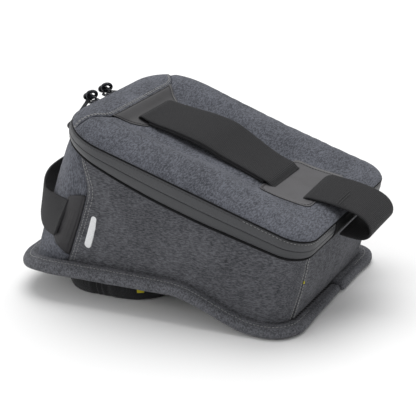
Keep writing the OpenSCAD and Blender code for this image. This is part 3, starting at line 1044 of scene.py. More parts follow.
def patch_sheet(name, corners, radius, material):
    """A smooth patch laid in the lid's valley, and the path of the groove pressed in just inside its edge."""
    corners = np.asarray(corners, float)
    centre = corners.mean(0)
    ring = []
    count = len(corners)
    for i in range(count):
        a, b, c = corners[i - 1], corners[i], corners[(i + 1) % count]
        one = b + (a - b) / np.linalg.norm(a - b) * radius
        two = b + (c - b) / np.linalg.norm(c - b) * radius
        for t in np.linspace(0, 1, 7):
            ring.append((1 - t) ** 2 * one + 2 * t * (1 - t) * b + t * t * two)
        straight = c + (b - c) / np.linalg.norm(c - b) * radius
        for t in np.linspace(0, 1, 12)[1:-1]:
            ring.append(mix(two, straight, t))
    ring = np.array(ring)
    scale = np.linalg.norm(ring - centre, axis=1).mean()
    steps = [(0.0, 0.0), (0.0, PATCH_T), (0.8, PATCH_T + 0.15), (2.0, PATCH_T), (GROOVE_IN, PATCH_T - 0.35)]
    steps += [(3.2, PATCH_T), (5, PATCH_T + 0.1)]
    steps += [(k, PATCH_T + 0.1) for k in np.linspace(8, scale * 0.97, 9)]
    spokes = ring - centre
    rows = np.array([on_crown(centre + spokes * (1 - inward / scale), height) for inward, height in steps])
    faces = grid_faces(len(rows), len(ring), wrap=True) + cap_faces(len(rows), len(ring))[1:]
    piece = make(name, rows, faces, material, 50)
    look_along(piece, W_AXIS)
    groove = centre + spokes * (1 - GROOVE_IN / scale)
    return piece, on_crown(np.vstack([groove, groove[:1]]), 1)


WEBBING_T = 2.0
HANDLE_W = 50
END_HANDLE_W = 37


def strap(name, top, side, width, thickness, material, square=1.0):
    """Flat webbing: top is the middle of its upper face, side points across it, and square is
    how far side is turned square to the run, 1 being fully."""
    top, side = np.asarray(top, float), np.asarray(side, float)
    ahead = unit(np.gradient(top, axis=0))
    side = unit(side - ahead * np.sum(side * ahead, axis=1, keepdims=True) * square)
    up = unit(np.cross(side, ahead))
    across = np.concatenate([[-1, -0.985], np.linspace(-0.94, 0.94, 15), [0.985, 1]])
    half = thickness / 2 * (1 - np.abs(across) ** 40) ** 0.5
    a = np.concatenate([across, across[-2:0:-1]]) * width / 2
    b = np.concatenate([half, -half[-2:0:-1]]) - thickness / 2
    rings = top[:, None] + side[:, None] * a[None, :, None] + up[:, None] * b[None, :, None]
    piece = loft(name, rings, material, crease=55)
    strip = np.broadcast_arrays(run_of(top)[:, None], a, b)
    return stamp(piece, "strip", np.stack(strip, -1))


def carry_handle():
    """The handle bows up between its two patches and twists a little towards the far side."""
    half = HANDLE_W / 2
    u = np.linspace(-73.5, 58.5, 120)
    near = curve(u, (-72.5, -62, -37, -15, 7, 26, 45, 57.5), (7.6, 6.4, 8.0, 8.3, 5.8, 4.4, 2.7, 1.5))
    far = curve(u, (-72.5, -55, -22, -9, 15, 30, 41, 57.5), (7.2, 9.4, 14.2, 14.8, 9.6, 5.6, 3.6, 2.8))
    dive = 3.4 * smooth((-70.5 - u) / 3) + 2.4 * smooth((u - 51.0) / 6)
    height = (near + far) / 2 + 0.4 - dive
    top = lid(u, 0 * u, height)
    side = lid(u, half + 0 * u, far) - lid(u, -half + 0 * u, near)
    webbing_strip = strap("handle_webbing", top, side, HANDLE_W, WEBBING_T, M["web"])
    # a black strip under the handle, set towards its near side: partly a backing layer and partly painted
    # shadow under the handle's near edge
    inner = slice(10, -10)
    under = lid(u[inner], 0 * u[inner] - 1.2, height[inner] - 2.1)
    shadow_backing = strap("handle_backing_and_shadow", under, side[inner], HANDLE_W - 1, 2.6, M["boot"])
    return webbing_strip, shadow_backing


# the pull loop's run in u and w: off the wide patch, out past the wide end and back to the band
LOOP = (
    (84, 2.6), (85, 5.4), (87.5, 6.4), (92, 7.3), (99, 8.6), (107, 10.1), (116, 11.0), (124, 11.4),
    (131, 11.2), (137, 9.6), (141.5, 6.6), (144, 2.8), (144.5, -0.8), (142.6, -4.0), (138.8, -6.2),
    (133, -7.6), (127, -8.6), (121.4, -9.6),
)


def loop_points():
    """The pull loop's run in the lid's frame."""
    return softened(resample([(u, 0, w) for u, w in LOOP], 2.0), 3)


def pull_loop():
    """Webbing loop to lift the lid by."""
    path = loop_points()
    top = lid(path[:, 0], path[:, 1], path[:, 2])
    tilt = np.linspace(0.055, 0.03, len(path))
    side = V_AXIS + tilt[:, None] * W_AXIS
    return strap("loop_webbing", top, side, HANDLE_W, WEBBING_T, M["web"])


# ---------------------------------------------------------------- body


def wall_panel(name, left, right, material, cols, bulge, mirror):
    """A sewn panel of the wall between two seams, tucked in along its edges."""
    rows = 40
    s = np.linspace(-0.03, 1.02, rows)[:, None]
    c = np.linspace(0, 1, cols)[None]
    p = mix(left(s), right(s), c)
    if mirror:
        p = 2 - p
    base = wall(p, s)
    du, dv = np.gradient(base, axis=1), np.gradient(base, axis=0)
    normal = unit(np.cross(du, dv))
    if mirror:
        normal = -normal
    run = np.linalg.norm(du, axis=2)
    length = np.cumsum(run, axis=1) - run / 2
    total = length[:, -1:]
    to_seam = np.minimum(length, total - length)
    out = bulge * np.sin(np.pi * c) ** 0.8 * np.sin(np.pi * np.clip(s, 0, 1)) ** 0.8
    out = out - 1.3 * bell(to_seam, 0, 2.0) + 0.35 * bell(to_seam, 4.2, 1.8)
    height = base[..., 2]
    wave = np.sin(height * 0.42 + 1.9 * np.sin(height * 0.11))
    out = out + 0.3 * wave * np.exp(-to_seam / 6) * smooth(to_seam / 3)
    piece = sheet_mesh(name, base + normal * out[..., None], material)
    face_away(piece, BAG_MIDDLE)
    settle(piece, edge_pins(rows, cols, 3).ravel(), 2.0, 0.006, 1.5)
    return thicken(subdivide(piece), WALL_COVER_T)


def seam_line(seam, shift, mirror):
    """Path beside a seam of the wall, shift mm away from it."""
    s = np.linspace(0.0, 1.0, 60)
    p = seam(s)
    base = wall(p, s)
    path = base + unit(wall(p + 0.001, s) - base) * shift
    return path * (1, -1, 1) if mirror else path


def brim_plan(p):
    """Outline along the middle of the brim."""
    return outline(p, BRIM_X0, BRIM_X1, BRIM_HALF, BRIM_R_NARROW, BRIM_R_WIDE)


def brim_path(p):
    """The middle of the brim's roll."""
    x, y = brim_plan(p)
    return np.stack([x, y, brim_z(x) + brim_b(x) + BRIM_CLEAR], -1)


def brim_section(turn):
    """Cross-section of the brim: a flattened roll, with a stitched groove on top near the panel."""
    a = BRIM_A * np.sign(np.cos(turn)) * np.abs(np.cos(turn)) ** 0.8
    b = np.sign(np.sin(turn)) * np.abs(np.sin(turn)) ** 0.85
    groove = 0.15 * bell(turn, 1.35, 0.11)
    return a, b - groove


LAP_Y = 8.0  # the brim's ends lap this far past the middle of the wide end


def brim(name, start, end, lap_at_end, fullness):
    """Half of the padded brim. Its end at the lap is cut square and a little fuller or slimmer."""
    sides = 36
    p = np.linspace(start, end, 190)
    path = brim_path(p)
    nx, ny = normals_at(p, brim_plan)
    outwards = np.stack([nx, ny, 0 * nx], -1)
    turn = np.arange(sides) / sides * 2 * math.pi
    a, b = brim_section(turn)
    run = run_of(path)
    from_lap = run[-1] - run if lap_at_end else run
    wide = 1 + 0.018 * np.sin(p * 61) + 0.012 * np.sin(p * 143 + 1)
    wide = wide - 0.15 * smooth((p - 0.9) / 0.04) * smooth((1.1 - p) / 0.04)
    size = wide + fullness * bell(from_lap, 0, 26)
    size = size * (1 - 0.35 * bell(from_lap, 0, 1.1))
    rings = path[:, None] + outwards[:, None] * (a * size[:, None])[..., None]
    rings[..., 2] += b * (brim_b(path[:, 0]) * size)[:, None]
    return loft(name, rings, M["brim"], crease=70)


def brim_line(start, end, across):
    """Path of the stitches on top of the brim."""
    p = np.linspace(start, end, 240)
    nx, ny = normals_at(p, brim_plan)
    path = brim_path(p)
    return path + np.stack([nx * across, ny * across, brim_b(path[:, 0])], -1)


FOAM_LEVELS = ((5, -5), (4.6, -4.5), (4.6, -1), (5, -0.5), (40, -0.4))  # inset and height


def foam_slab():
    """The lid's padding, a closed slab in its outline."""
    rings = []
    for inset, height in FOAM_LEVELS:
        u, v = lid_edge(around(160), -inset)
        rings.append(lid(u, v, height + 0 * u))
    return loft("foam_slab", rings, M["foam"], crease=50)


QUILT = 26.0  # size of the quilting's squares


def lid_lining():
    """Quilted lining under the lid, bound round its edge."""
    count = 200
    p = around(count)
    rows = []
    for k in np.linspace(0, 1, 34):
        inset = mix(5.0, 84.0, k)
        u, v = lid_edge(p, -5.0)
        x0 = np.clip(u, -50, 60)
        u, v = mix(u, x0, k), v * (1 - k)
        one, two = (np.abs(np.sin(math.pi * t / QUILT)) ** 0.4 for t in (u + v, u - v))
        rows.append(lid(u, v, -5.4 - 0.8 * one * two * smooth((inset - 8) / 6)))
    rows = np.array(rows)
    faces = grid_faces(len(rows), count, wrap=True)
    piece = make("lid_lining_quilt", rows, faces, M["lining"], 0)
    look_along(piece, -W_AXIS)
    thicken(piece, 0.8)
    binding = tube("binding", edge_path(-5.2, -5.8, 200), 1.1, M["tape"], 8, closed=True, up=W_AXIS)
    return join("lid_lining_quilt", [piece, binding])


def pocket():
    """Mesh pocket under the lid, with a bound mouth."""
    (u0, u1), (v0, v1), _ = spans("lid_pocket")
    rows, cols = 40, 46
    c, r = np.meshgrid(np.linspace(0, 1, cols), np.linspace(0, 1, rows))
    u, v = mix(u0, u1, c), mix(v0, v1, r)
    sag = 2.2 * np.sin(np.pi * r) ** 0.6 * smooth(c * 1.4) * (1 + 0.12 * np.sin(v * 0.5))
    grid = lid(u, v, -6.6 - sag)
    net = sheet_mesh("pocket_net", grid, M["net"])
    look_along(net, -W_AXIS)
    thicken(net, 0.5)
    mouth = tube("mouth", grid[:, -1], 1.5, M["tape"], 10, up=W_AXIS)
    rim = [tube("rim", line, 1.0, M["tape"], 8, up=W_AXIS) for line in (grid[0], grid[-1], grid[:, 0])]
    return net, join("pocket_binding", [mouth, *rim]), ((u1 - u0) * MM, (v1 - v0) * MM)


FLAP_HALF = 31.0


def hinge_flap():
    """Fabric cover over the band at the wide end, where the lid hinges."""
    rows, cols = 26, 40
    v = np.linspace(-FLAP_HALF, FLAP_HALF, cols)[None]
    share = np.linspace(-0.06, 0.97, rows)[:, None]
    w = band_low(np.array(LID_HALF_L)) * (1 - share)
    crimp = 0.25 * np.sin(v * 1.9) * np.sin(np.pi * np.clip(share, 0, 1))
    grid = lid(LID_HALF_L + band_swell(share) + 0.8 + crimp, v + 0 * w, w + 0 * v)
    piece = sheet_mesh("hinge_strip", grid, M["cover"])
    look_along(piece, U_AXIS)
    return thicken(piece, 1.0)


def body_lining():
    """Loose lining inside the wall, with a hem at its mouth."""
    rows, cols = 30, 220
    s = np.linspace(0.03, 0.97, rows)[:, None]
    p = around(cols)[None]
    base = wall(p, s, 3.9)
    centre = np.array([-10.0, 0, 60])
    direction = centre - base
    direction[..., 2] = 0
    fold = 0.8 * np.sin(p * 38 + 3 * np.sin(p * 9)) * np.sin(np.pi * s) ** 0.5
    grid = base + unit(direction) * (fold + 0.9)[..., None]
    piece = make("lining_cloth", grid, grid_faces(rows, cols, wrap=True), M["lining"], 0)
    face_away(piece, BAG_MIDDLE)
    piece.data.flip_normals()
    thicken(piece, 0.6)
    hem = tube("lining_hem", wall(around(cols), 0.97, 4.6), 1.1, M["tape"], 8, closed=True)
    return piece, hem


def base_pad():
    """Grippy pad under the bag: it follows the brim's arch and carries rows of small ribs."""
    rows, cols = 60, 44
    half = np.linspace(0.02, 0.98, rows)
    x, y = foot_edge(half, 4.4)
    c = np.linspace(-1, 1, cols)[None]
    gx, gy = x[:, None] + 0 * c, y[:, None] * c
    rib = 0.35 * np.abs(np.sin(gx * math.pi / 6)) ** 6
    low = np.stack([gx, gy, brim_z(gx) + 3.0 - rib], -1)
    high = np.stack([gx, gy, brim_z(gx) + 8.5], -1)
    count = rows * cols
    faces = grid_faces(rows, cols)
    faces += moved([face[::-1] for face in faces], count)
    rim = [r * cols for r in range(rows)] + [(rows - 1) * cols + c for c in range(1, cols)]
    rim += [r * cols + cols - 1 for r in range(rows - 2, -1, -1)] + list(range(cols - 2, 0, -1))
    faces += [(a, b, b + count, a + count) for a, b in zip(rim, rim[1:] + rim[:1])]
    return recalc(make("grip_pad", np.stack([low, high]), faces, M["grip"]))


def outward_of(p, s):
    """Unit normal of the wall."""
    step = 1e-3
    along = wall(p + step, s) - wall(p - step, s)
    rise = wall(p, s + step) - wall(p, s - step)
    return unit(np.cross(along, rise))


def height_over(base, normal, panel):
    """How far a panel's surface stands out from each point of a grid, along the grid's normals."""
    tree = BVHTree.FromObject(panel, bpy.context.evaluated_depsgraph_get())
    reach = 12.0
    rise = np.zeros(base.shape[:2])
    for i in np.ndindex(rise.shape):
        start = Vector((base[i] + normal[i] * reach) * MM)
        hit, _, _, far = tree.ray_cast(start, Vector(-normal[i]), 2 * reach * MM)
        rise[i] = 0 if hit is None else reach - far / MM
    return rise


def end_handle():
    """Handle on the narrow end: it leaves each end patch round the corner and bows clear between them."""
    top_end = wall(0.281, 0.555) + outward_of(0.281, 0.555) * 3.3
    low_end = wall(0.266, 0.27) + outward_of(0.266, 0.27) * 2.6
    top = [top_end, (-116, -71, 88), (-127.5, -57, 93), (-134, -40, 97), (-136.5, -21, 98.5), (-137, 0, 99)]
    low = [low_end, (-125, -68, 57), (-137, -53.5, 60.5), (-145.5, -38, 63), (-150, -19, 63.5), (-151, 0, 64)]
    edges = []
    for points in (top, low):
        points = np.vstack([points, points[-2::-1] * np.array((1, -1, 1))])
        stations = np.linspace(0, len(points) - 1, 110)
        edge = [curve(stations, np.arange(len(points)), points[:, k]) for k in range(3)]
        edges.append(softened(np.stack(edge, 1), 8))
    upper, lower = edges
    middle = (upper + lower) / 2
    return strap("end_webbing", middle, lower - upper, END_HANDLE_W, WEBBING_T, M["web"], square=0.5)


def end_patch(name, side, panel):
    """Smooth tab sewn along the seam, under each end of the end handle."""
    rows, cols = 44, 30
    c = np.linspace(0, 1, cols)[None]
    low, high = mix(0.22, 0.045, c), mix(0.625, 0.70, c) - 0.02 * (2 * c - 1) ** 4
    s = mix(low, high, np.linspace(0, 1, rows)[:, None])
    p = mix(0.260 + 0.012 * s, narrow_seam(s) - 0.0015, c)
    edge = np.minimum(np.minimum(c, 1 - c) * 24, np.minimum(s - low, high - s) * 105)
    lift = 0.7 * smooth(edge / 1.2 + 0.4) - 0.4 * bell(edge, 2.6, 0.6)
    lift = lift + 0.5 * bell(c, 0.5, 0.3) - 0.5 * smooth((c - 0.8) / 0.2)
    pressed = (np.abs(c - 0.52) < 0.17) & (s > 0.24) & (s < 0.52)
    lift = lift + np.where(pressed, 0.35 * np.abs(np.sin((c - 0.35) * math.pi * 9)), 0)
    across = (1, -side, 1)
    base, normal = wall(p, s) * across, outward_of(p, s) * across
    lift = lift + height_over(base, normal, panel) + 0.4
    piece = sheet_mesh(name, base + normal * lift[..., None], M["leather_dark"])
    face_away(piece, BAG_MIDDLE)
    return thicken(piece, 1.2)


def reflector(name, side):
    """Rounded light strip, a little domed, that follows the side panel."""
    centre_s, centre_p = 0.36, 0.3493
    middle = wall(centre_p, centre_s)
    ahead = unit(wall(0.3402, 0.55) - wall(0.358, 0.17))
    normal = unit(np.cross(wall(centre_p + 0.01, centre_s) - middle, ahead))
    across = np.cross(ahead, normal)
    turn = np.linspace(0, 2 * math.pi, 48, endpoint=False)
    half, r = 12.5, 3.25
    x = r * np.cos(turn)
    y = r * np.sin(turn) + np.where(np.sin(turn) > 0, half, -half)
    rings = []
    for shrink, lift in ((1.0, -0.6), (1.0, 0.35), (0.94, 0.6), (0.82, 0.7), (0.5, 0.75), (0.05, 0.78)):
        yy = y - np.sign(y) * (1 - shrink) * r
        flat = middle + across * (x * shrink)[:, None] + ahead * yy[:, None] + normal * (1.0 + lift)
        rings.append(flat * (1, -1, 1) if side > 0 else flat)
    return loft(name, rings, M["film"], crease=50)


def pill(name, centre, half, power):
    """A rounded metal block: a superellipsoid with three half lengths along the lid's axes."""
    axes = (U_AXIS, V_AXIS, W_AXIS)
    rings, sides = 12, 24
    points = []
    for i in range(rings + 1):
        rise = mix(-math.pi / 2, math.pi / 2, i / rings) * 0.998
        for k in range(sides):
            turn = 2 * math.pi * k / sides
            raw = (math.cos(rise) * math.cos(turn), math.cos(rise) * math.sin(turn), math.sin(rise))
            soft = [math.copysign(abs(t) ** power, t) for t in raw]
            points.append(centre + sum(axes[j] * half[j] * soft[j] for j in range(3)))
    faces = grid_faces(rings + 1, sides, wrap=True) + cap_faces(rings + 1, sides)
    return recalc(make(name, points, faces, M["metal"], 55))


# the pull's ring and the link that holds it: shift in u and w, half height, half width, radius of the wire
SLIDER_RINGS = (("ring", 1.5, 1.5, 3.0, 4.2, 1.5), ("link", -1.8, -1.6, 2.4, 3.2, 1.3))


def slider(side):
    """Zip slider: a shield-shaped body, its bridge, and the pin that carries the pull."""
    _, (v0, v1), (w0, w1) = spans(f"slider_{side}")
    middle = lid(np.array(-LID_HALF_L - 0.3), np.array((v0 + v1) / 2), np.array((w0 + w1) / 2 - 0.75))
    parts = [pill("body", middle - U_AXIS * 2.6, (2.3, 4.9, 4.6), 0.45)]
    for name, shift in (("wing_a", -2.6), ("wing_b", 2.6)):
        centre = middle - U_AXIS * 2.4 + V_AXIS * shift + W_AXIS * 3.0
        parts.append(pill(name, centre, (2.2, 2.4, 2.4), 0.6))
    eye = pull_eye(side)
    low, high = eye - W_AXIS * 2.9, eye + W_AXIS * 2.9
    parts.append(tube("pin", [low, eye, high], 0.8, M["metal"], 14, up=U_AXIS))
    turns = np.linspace(0, 2 * math.pi, 22, endpoint=False)[:, None]
    lean = unit(V_AXIS + 0.7 * U_AXIS)
    for name, du, dw, tall, broad, wire in SLIDER_RINGS:
        centre = high + U_AXIS * du + W_AXIS * dw
        ring = centre + W_AXIS * tall * np.sin(turns) + lean * broad * np.cos(turns)
        parts.append(tube(name, ring, wire, M["metal"], 12, closed=True, up=np.cross(lean, W_AXIS)))
    for end, bend in ((low, -1), (high, 1)):
        raised = end + W_AXIS * bend * 0.5
        arm = [raised - U_AXIS * 1.0, raised + U_AXIS * 3, end + U_AXIS * 6]
        parts.append(tube("arm", resample(arm, 1.0), 1.25, M["metal"], 12, up=V_AXIS))
    return join(f"zip_slider_{side}", parts)


def pull(side, sign):
    """Zip pull: a cord through the slider's eye and a moulded grip with a flared end."""
    eye = pull_eye(side)
    droop = math.radians(14)
    run = unit(V_AXIS * sign * math.cos(droop) - W_AXIS * math.sin(droop) + U_AXIS * 0.22)
    over = np.cross(run, U_AXIS)
    loop = []
    for turn in np.linspace(math.radians(40), math.radians(320), 15):
        loop.append(eye + run * 1.9 * math.cos(turn) + U_AXIS * 1.9 * math.sin(turn))
    grip_start = eye + run * 30
    first = [grip_start + U_AXIS * 0.6, eye + run * 8 + U_AXIS * 0.7]
    last = [eye + run * 8 - U_AXIS * 0.7, grip_start - U_AXIS * 0.6]
    cord = resample(np.array(first + loop + last), 0.7)
    parts = [tube("cord", cord, 0.95, M["web_cord"], 10, up=over)]
    at = np.linspace(0, 1, 26)
    length = 17.0
    size = curve(at, (0, 0.06, 0.2, 0.5, 0.8, 0.93, 1.0), (1.1, 1.9, 2.3, 2.2, 3.0, 2.7, 0.6))
    size = size + 0.14 * np.sin(at * 45) * (at > 0.2) * (at < 0.7)
    line = eye + run * 27 + np.outer(at * length, run)
    parts.append(tube("grip", line, size, M["pull"], 20, up=over))
    return join(f"zip_pull_{side}", parts)


BOOT_R = 36


def boot_edge(p):
    """Outline of the boot's cover."""
    low, high = box("boot_cover")
    x, y = outline(p, 0, high[0] - low[0], (high[1] - low[1]) / 2, BOOT_R, BOOT_R)
    return x + low[0], y + (low[1] + high[1]) / 2


def boot_cover():
    """Sleeve round the mounting boot, gathered at its seams and rolled under at the foot."""
    rows, cols = 22, 240
    high = box("boot_cover")[1][2]
    k = np.linspace(0, 1, rows)[:, None]
    p = around(cols)[None]
    out = curve(k, (0, 0.1, 0.25, 0.5, 0.8, 1), (-9, -3.6, -0.8, 0.7, 0.2, -0.6))
    z = curve(k, (0, 0.1, 0.25, 0.5, 0.8, 1), (1.6, 0.5, 4.0, 10.5, 17.5, high - 0.5))
    seams = sum(bell(p, q, 0.006) for q in (0.13, 0.42, 0.87, 1.13, 1.58, 1.87))
    folds = 0.5 * np.sin(p * 47 + 2 * np.sin(p * 13)) * np.sin(np.pi * k)
    out = out - 1.0 * seams * np.sin(np.pi * k) ** 0.5 + folds
    x, y = boot_edge(p)
    dx, dy = normals_at(p, boot_edge)
    grid = np.stack([x + dx * out, y + dy * out, z + 0 * p], -1)
    piece = make("boot_sleeve", grid, grid_faces(rows, cols, wrap=True), M["boot"], 0)
    face_away(piece, (box("boot_cover")[0][0] / 2 - 10, 0, 12))
    return thicken(subdivide(piece), 1.6)


def release_tab():
    """Folded ribbon tab that sticks out under the brim."""
    low, high = box("release_tab")
    centre = (low + high) / 2
    turn = math.radians(28)
    along = np.array([math.cos(turn), math.sin(turn), 0])
    out = np.array([math.sin(turn), -math.cos(turn), 0])
    path = []
    for t in np.linspace(0, 1, 22):
        bend = math.pi * smooth(np.array((t - 0.4) / 0.2))
        drop = np.array([0, 0, 4.4 - 8.8 * (1 - abs(2 * t - 1))])
        path.append(centre + out * (0.5 * math.cos(bend)) + drop)
    return strap("tab_ribbon", path, np.broadcast_to(along, (22, 3)), 6, 0.7, M["tab"])


# ---------------------------------------------------------------- build

SIDES = (("near", -1), ("far", 1))
PATCH_EDGE = ((-85.5, 50), (-77, 42), (-68, 35), (-61, 28))
NARROW_PATCH = tuple((u, -v) for u, v in PATCH_EDGE) + PATCH_EDGE[::-1]
WIDE_PATCH = ((49, -37), (95, -38), (95, 38), (49, 37))
# name, corners in u and v, corner radius, material, CAD node
PATCHES = (
    ("patch_narrow", NARROW_PATCH, 3, "leather_mid", "handle_patch_narrow"),
    # the wide patch takes the lighter leather copy, painted sheen
    ("patch_wide", WIDE_PATCH, 6, "leather", "handle_patch_wide"),
)
# name, places along the outline, height share, thread
BAND_ROWS = (
    ("band_stitches", (0.0, 2.0, 300), 0.935, "thread_dark"),
    ("band_corner_stitches", (0.70, 0.97, 80), 0.955, "thread"),
)


def build_lid():
    """Everything that opens with the lid."""
    panel = place(lid_panel(), "lid", "heather", "lid_panel")
    yoke = place(lid_yoke(), "lid", "heather", "lid_yoke")
    piping = tube("lid_bead", edge_path(-0.3, 0.25, 240), 0.8, M["piping"], 10, closed=True, up=W_AXIS)
    place(piping, "lid", "piping", "lid_piping")
    foam = place(foam_slab(), "lid", "foam", "lid_foam")
    quilt = place(lid_lining(), "lid", "lining", "lid_lining")
    net, binding, flat = pocket()
    place(net, "lid", "mesh", "lid_pocket")
    place(binding, "lid", "zip_tape")
    upper = band_half("band_upper_sheen", 0.504, 1.0, M["band"])
    place(upper, "lid", "coated_fabric", "upper_gusset")
    place(zip_half("zip_upper", 1), "lid", "zip_tape", "upper_zip")
    laid = []
    for name, corners, radius, material, node in PATCHES:
        patch, groove = patch_sheet(name, corners, radius, M[material])
        place(patch, "lid", "patch_leather", node)
        laid.append((name, patch, groove))
    handle, shadow_backing = carry_handle()
    place(handle, "lid", "webbing", "carry_handle")
    place(shadow_backing, "lid", "boot_fabric")
    loop = place(pull_loop(), "lid", "webbing", "pull_loop")
    v = np.linspace(-78, 78, 120)
    runs = [yoke_seam(v) - back for back in (1.7, 3.2)]
    rows = [lid(u, v, crown(u, v, yoke=True) + 0.5) for u in runs]
    sew("yoke_stitches", rows, yoke, "thread", "lid", "heather", 3.0, 2.0, 0.32)
    for name, patch, groove in laid:
        sew(f"{name}_stitches", [groove], patch, "thread_dark", "lid", "patch_leather", 2.6, 1.8, 0.25)
    sew("loop_bar_tack", loop_bars(), loop, "thread_dark", "lid", "webbing", 1.9, 1.6, 0.35, 0.05)
    for name, places, share, colour in BAND_ROWS:
        row = band_point(np.linspace(*places), 3.0, share)
        sew(name, [row], upper, colour, "lid", "coated_fabric", 3.2, 2.2, 0.22)


def loop_bars():
    """Four bars of thread across the pull loop, where it is sewn to the lid."""
    path = loop_points()
    bars = []
    for u in (111, 113.2, 118, 120.2):
        at = path[np.argmin(np.abs(path[:20, 0] - u))]
        bars.append(lid(np.array([u, u]), np.array([-23.5, 23.5]), at[2] + np.array([0.0, 2.0])))
    return bars


# name, CAD node, slot, material, seams on both sides, columns, bulge
WALL_PANELS = (
    ("side_cover_near", "near_side_panel", "heather_dark", "side", narrow_seam, wide_seam, 84, 1.6),
    ("side_cover_far", "far_side_panel", "heather_dark", "side", narrow_seam, wide_seam, 84, 1.6),
    ("end_cover_narrow", "narrow_end_panel", "heather", "end", far_narrow_seam, narrow_seam, 76, 1.0),
    ("end_cover_wide", "wide_end_panel", "heather_dark", "side_end", wide_seam, far_wide_seam, 48, 1.2),
)


def build_body():
    """The lower half of the zipped band, the wall, the lining and the base pad."""
    lower = band_half("band_lower", 0.0, 0.496, M["band_low"])
    place(lower, "shell", "coated_fabric", "lower_gusset")
    place(zip_half("zip_lower", -1), "shell", "zip_tape", "lower_zip")
    # the body's bead sits back in the crease under the band, and its near-black is partly painted crease
    # shade
    bead_path = band_point(around(260), -1.3, -0.05)
    bead = tube("body_bead", bead_path, 1.3, M["piping"], 10, closed=True, up=W_AXIS)
    place(bead, "shell", "piping", "body_piping")
    panels = []
    for name, node, slot, material, left, right, cols, bulge in WALL_PANELS:
        piece = wall_panel(name, left, right, M[material], cols, bulge, mirror=name.endswith("far"))
        panels.append(place(piece, "shell", slot, node))
    near, far, _, wide = panels
    for side, panel in (("near", near), ("far", far)):
        sew_wall_seams(side, panel, wide)
    foot = [wall(np.linspace(0, 2, 300), 0.015)]
    sew("foot_stitches", foot, near, "thread_dark", "shell", "heather_dark", 3.4, 2.0, 0.2)
    lining, hem = body_lining()
    place(lining, "shell", "lining", "body_lining")
    place(hem, "shell", "zip_tape")
    height = np.linalg.norm(wall(0.5, 0.97) - wall(0.5, 0.03))
    girth = outline_length(foot_edge)
    place(base_pad(), "shell", "grip_rubber", "base_pad")


def sew_wall_seams(side, panel, wide_panel):
    """Stitches beside the two upright seams of one side."""
    on = ("shell", "heather_dark")
    mirror = side == "far"
    rows = [seam_line(narrow_seam, shift, mirror) for shift in (2.6, 5.6)]
    sew(f"seam_{side}_narrow", rows, panel, "thread", *on, 2.8, 1.9, 0.27)
    for name, shift, target in (("wide", -1.9, panel), ("wide_end", 1.9, wide_panel)):
        row = seam_line(wide_seam, shift, mirror)
        sew(f"seam_{side}_{name}", [row], target, "thread", *on, 2.6, 2.0, 0.38)
    tack = seam_line(wide_seam, 1.2, mirror)[33:36]
    sew(f"bar_tack_{side}", [tack], wide_panel, "thread_yellow", *on, 1.0, 1.4, 0.7, 0)


def build_brim():
    """The padded brim in two halves that lap at the wide end."""
    lap = 1.0 + 0.1 * LAP_Y / (BRIM_HALF - BRIM_R_WIDE)
    first = place(brim("brim_roll_near", 0.0, lap, True, -0.06), "shell", "heather", "brim_near")
    second = place(brim("brim_roll_far", lap + 0.0006, 1.9995, False, 0.12), "shell", "heather", "brim_far")
    for side, piece, start, end in (("near", first, 0.0, 0.93), ("far", second, 1.07, 2.0)):
        row = brim_line(start, end, 1.7)
        sew(f"brim_stitches_{side}", [row], piece, "thread", "shell", "heather", 3.2, 2.1, 0.26)
    ladder = []
    for p in np.arange(0.9, 1.1, 0.0052):
        foot = brim_line(p, p + 0.0001, 0.0)[0]
        nx, ny = normals_at(np.array(p), brim_plan)
        out = np.array([nx, ny, 0])
        ladder.append(np.array([foot - out * 4.6 + (0, 0, 0.9), foot - out * 1.4 + (0, 0, 0.1)]))
    sew("foot_ladder", ladder, first, "thread_dark", "shell", "heather", 3.2, 3.4, 0.42, -0.2)


def build_straps():
    """The end handle and its patches, the reflectors and the hinge's cover."""
    place(end_handle(), "shell", "webbing", "end_handle")
    panel = bpy.data.objects["end_cover_narrow"]
    for side, sign in SIDES:
        place(end_patch(f"end_tab_{side}", sign, panel), "shell", "patch_leather", f"end_patch_{side}")
    for side, sign in SIDES:
        place(reflector(f"light_strip_{side}", sign), "shell", "reflective", f"reflector_{side}")
    flap = hinge_flap()
    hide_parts("hinge_flap")
    depth = band_low(np.array(LID_HALF_L))
    low = lid(np.array(LID_HALF_L), np.array(0.0), depth * 0.95)
    high = lid(np.array(LID_HALF_L), np.array(0.0), depth * 0.42)
    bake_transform(flap)


def build_metal():
    """The two zip sliders and their pulls."""
    for side, sign in SIDES:
        place(slider(side), f"slider_{side}", "slider_metal", f"slider_{side}")
        place(pull(side, sign), f"pull_{side}", "pull_rubber", f"pull_{side}")


def build_boot():
    """The mounting boot, its release tab, and the looks of the hard parts inside."""
    sleeve = place(boot_cover(), "shell", "boot_fabric", "boot_cover")
    place(release_tab(), "shell", "tab_yellow", "release_tab")
    for node, name in (("boot_core", "foam"), ("mount_plate", "plate"), ("base_board", "board")):
        frame["nodes"][node].data.materials.clear()
        frame["nodes"][node].data.materials.append(M[name])


# ---------------------------------------------------------------- photograph's view

VIEW_FROM = Vector((0.4907, -0.905, 0.4590))
VIEW_AZ = math.radians(28.6)
VIEW_EL = math.radians(21.0)
VIEW_ROLL = math.radians(-3.0)


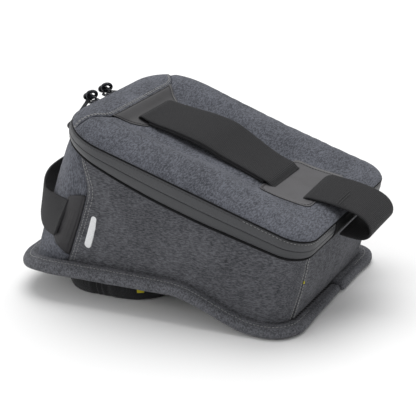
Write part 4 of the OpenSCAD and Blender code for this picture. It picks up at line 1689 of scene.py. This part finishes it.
def add_camera():
    """The photograph's view."""
    lens = bpy.data.cameras.new("photo_camera")
    lens.sensor_width = 36
    lens.lens = 111.6
    lens.clip_start = 0.05
    camera = bpy.data.objects.new("photo_camera", lens)
    level = math.cos(VIEW_EL)
    back = Vector((math.sin(VIEW_AZ) * level, -math.cos(VIEW_AZ) * level, math.sin(VIEW_EL)))
    right = Vector((0, 0, 1)).cross(back).normalized()
    up = back.cross(right)
    turned = right * math.cos(VIEW_ROLL) + up * math.sin(VIEW_ROLL)
    upward = up * math.cos(VIEW_ROLL) - right * math.sin(VIEW_ROLL)
    camera.matrix_world = Matrix.Translation(VIEW_FROM) @ Matrix((turned, upward, back)).transposed().to_4x4()
    bpy.context.scene.collection.objects.link(camera)
    bpy.context.scene.camera = camera


# name, place, target, size in m, power in W
LIGHTS = (
    ("key", (-0.3, 0.95, 2.8), (0, 0, 0.06), 3.2, 82),
    ("fill", (-0.5, -2.0, 1.2), (0, 0, 0.06), 1.4, 4),
    ("side", (-0.75, -0.75, 0.45), (-0.1, 0, 0.05), 0.5, 1.6),
    ("low_left", (-1.2, -0.1, 0.25), (-0.1, 0, 0.0), 0.6, 2),
    ("low_right", (1.2, 0.1, 0.3), (0.1, 0, 0.0), 0.6, 1.3),
)
FLOOR_HALF = 4000


def area_light(name, place_at, target, size, power):
    """A round soft light that looks at a target."""
    light = bpy.data.lights.new(name, "AREA")
    light.shape = "DISK"
    light.size = size
    light.energy = power
    lamp = bpy.data.objects.new(name, light)
    lamp.location = place_at
    lamp.rotation_euler = (Vector(place_at) - Vector(target)).to_track_quat("Z", "Y").to_euler()
    bpy.context.scene.collection.objects.link(lamp)


def white_floor():
    """Near-white floor."""
    n = Nodes("studio_floor", rough=0.9, shine=0.0)
    n.colour(n.grain(0.002), (0.86, 0.86, 0.86), (0.88, 0.88, 0.88))
    return n.material


def add_studio():
    """White floor, white surroundings, soft lights and plain colour handling."""
    corners = [(x * FLOOR_HALF, y * FLOOR_HALF, 0) for x, y in ((-1, -1), (1, -1), (1, 1), (-1, 1))]
    make("floor", corners, [(0, 1, 2, 3)], white_floor())
    world = bpy.data.worlds.new("studio")
    world.use_nodes = True
    world.node_tree.nodes["Background"].inputs["Color"].default_value = (1, 1, 1, 1)
    world.node_tree.nodes["Background"].inputs["Strength"].default_value = 0.50
    bpy.context.scene.world = world
    for light in LIGHTS:
        area_light(*light)
    settings = bpy.context.scene.view_settings
    settings.view_transform = "Standard"
    settings.look = "None"
    settings.exposure = 0
    settings.gamma = 1


build_lid()
build_body()
build_brim()
build_straps()
build_metal()
build_boot()
add_camera()
add_studio()
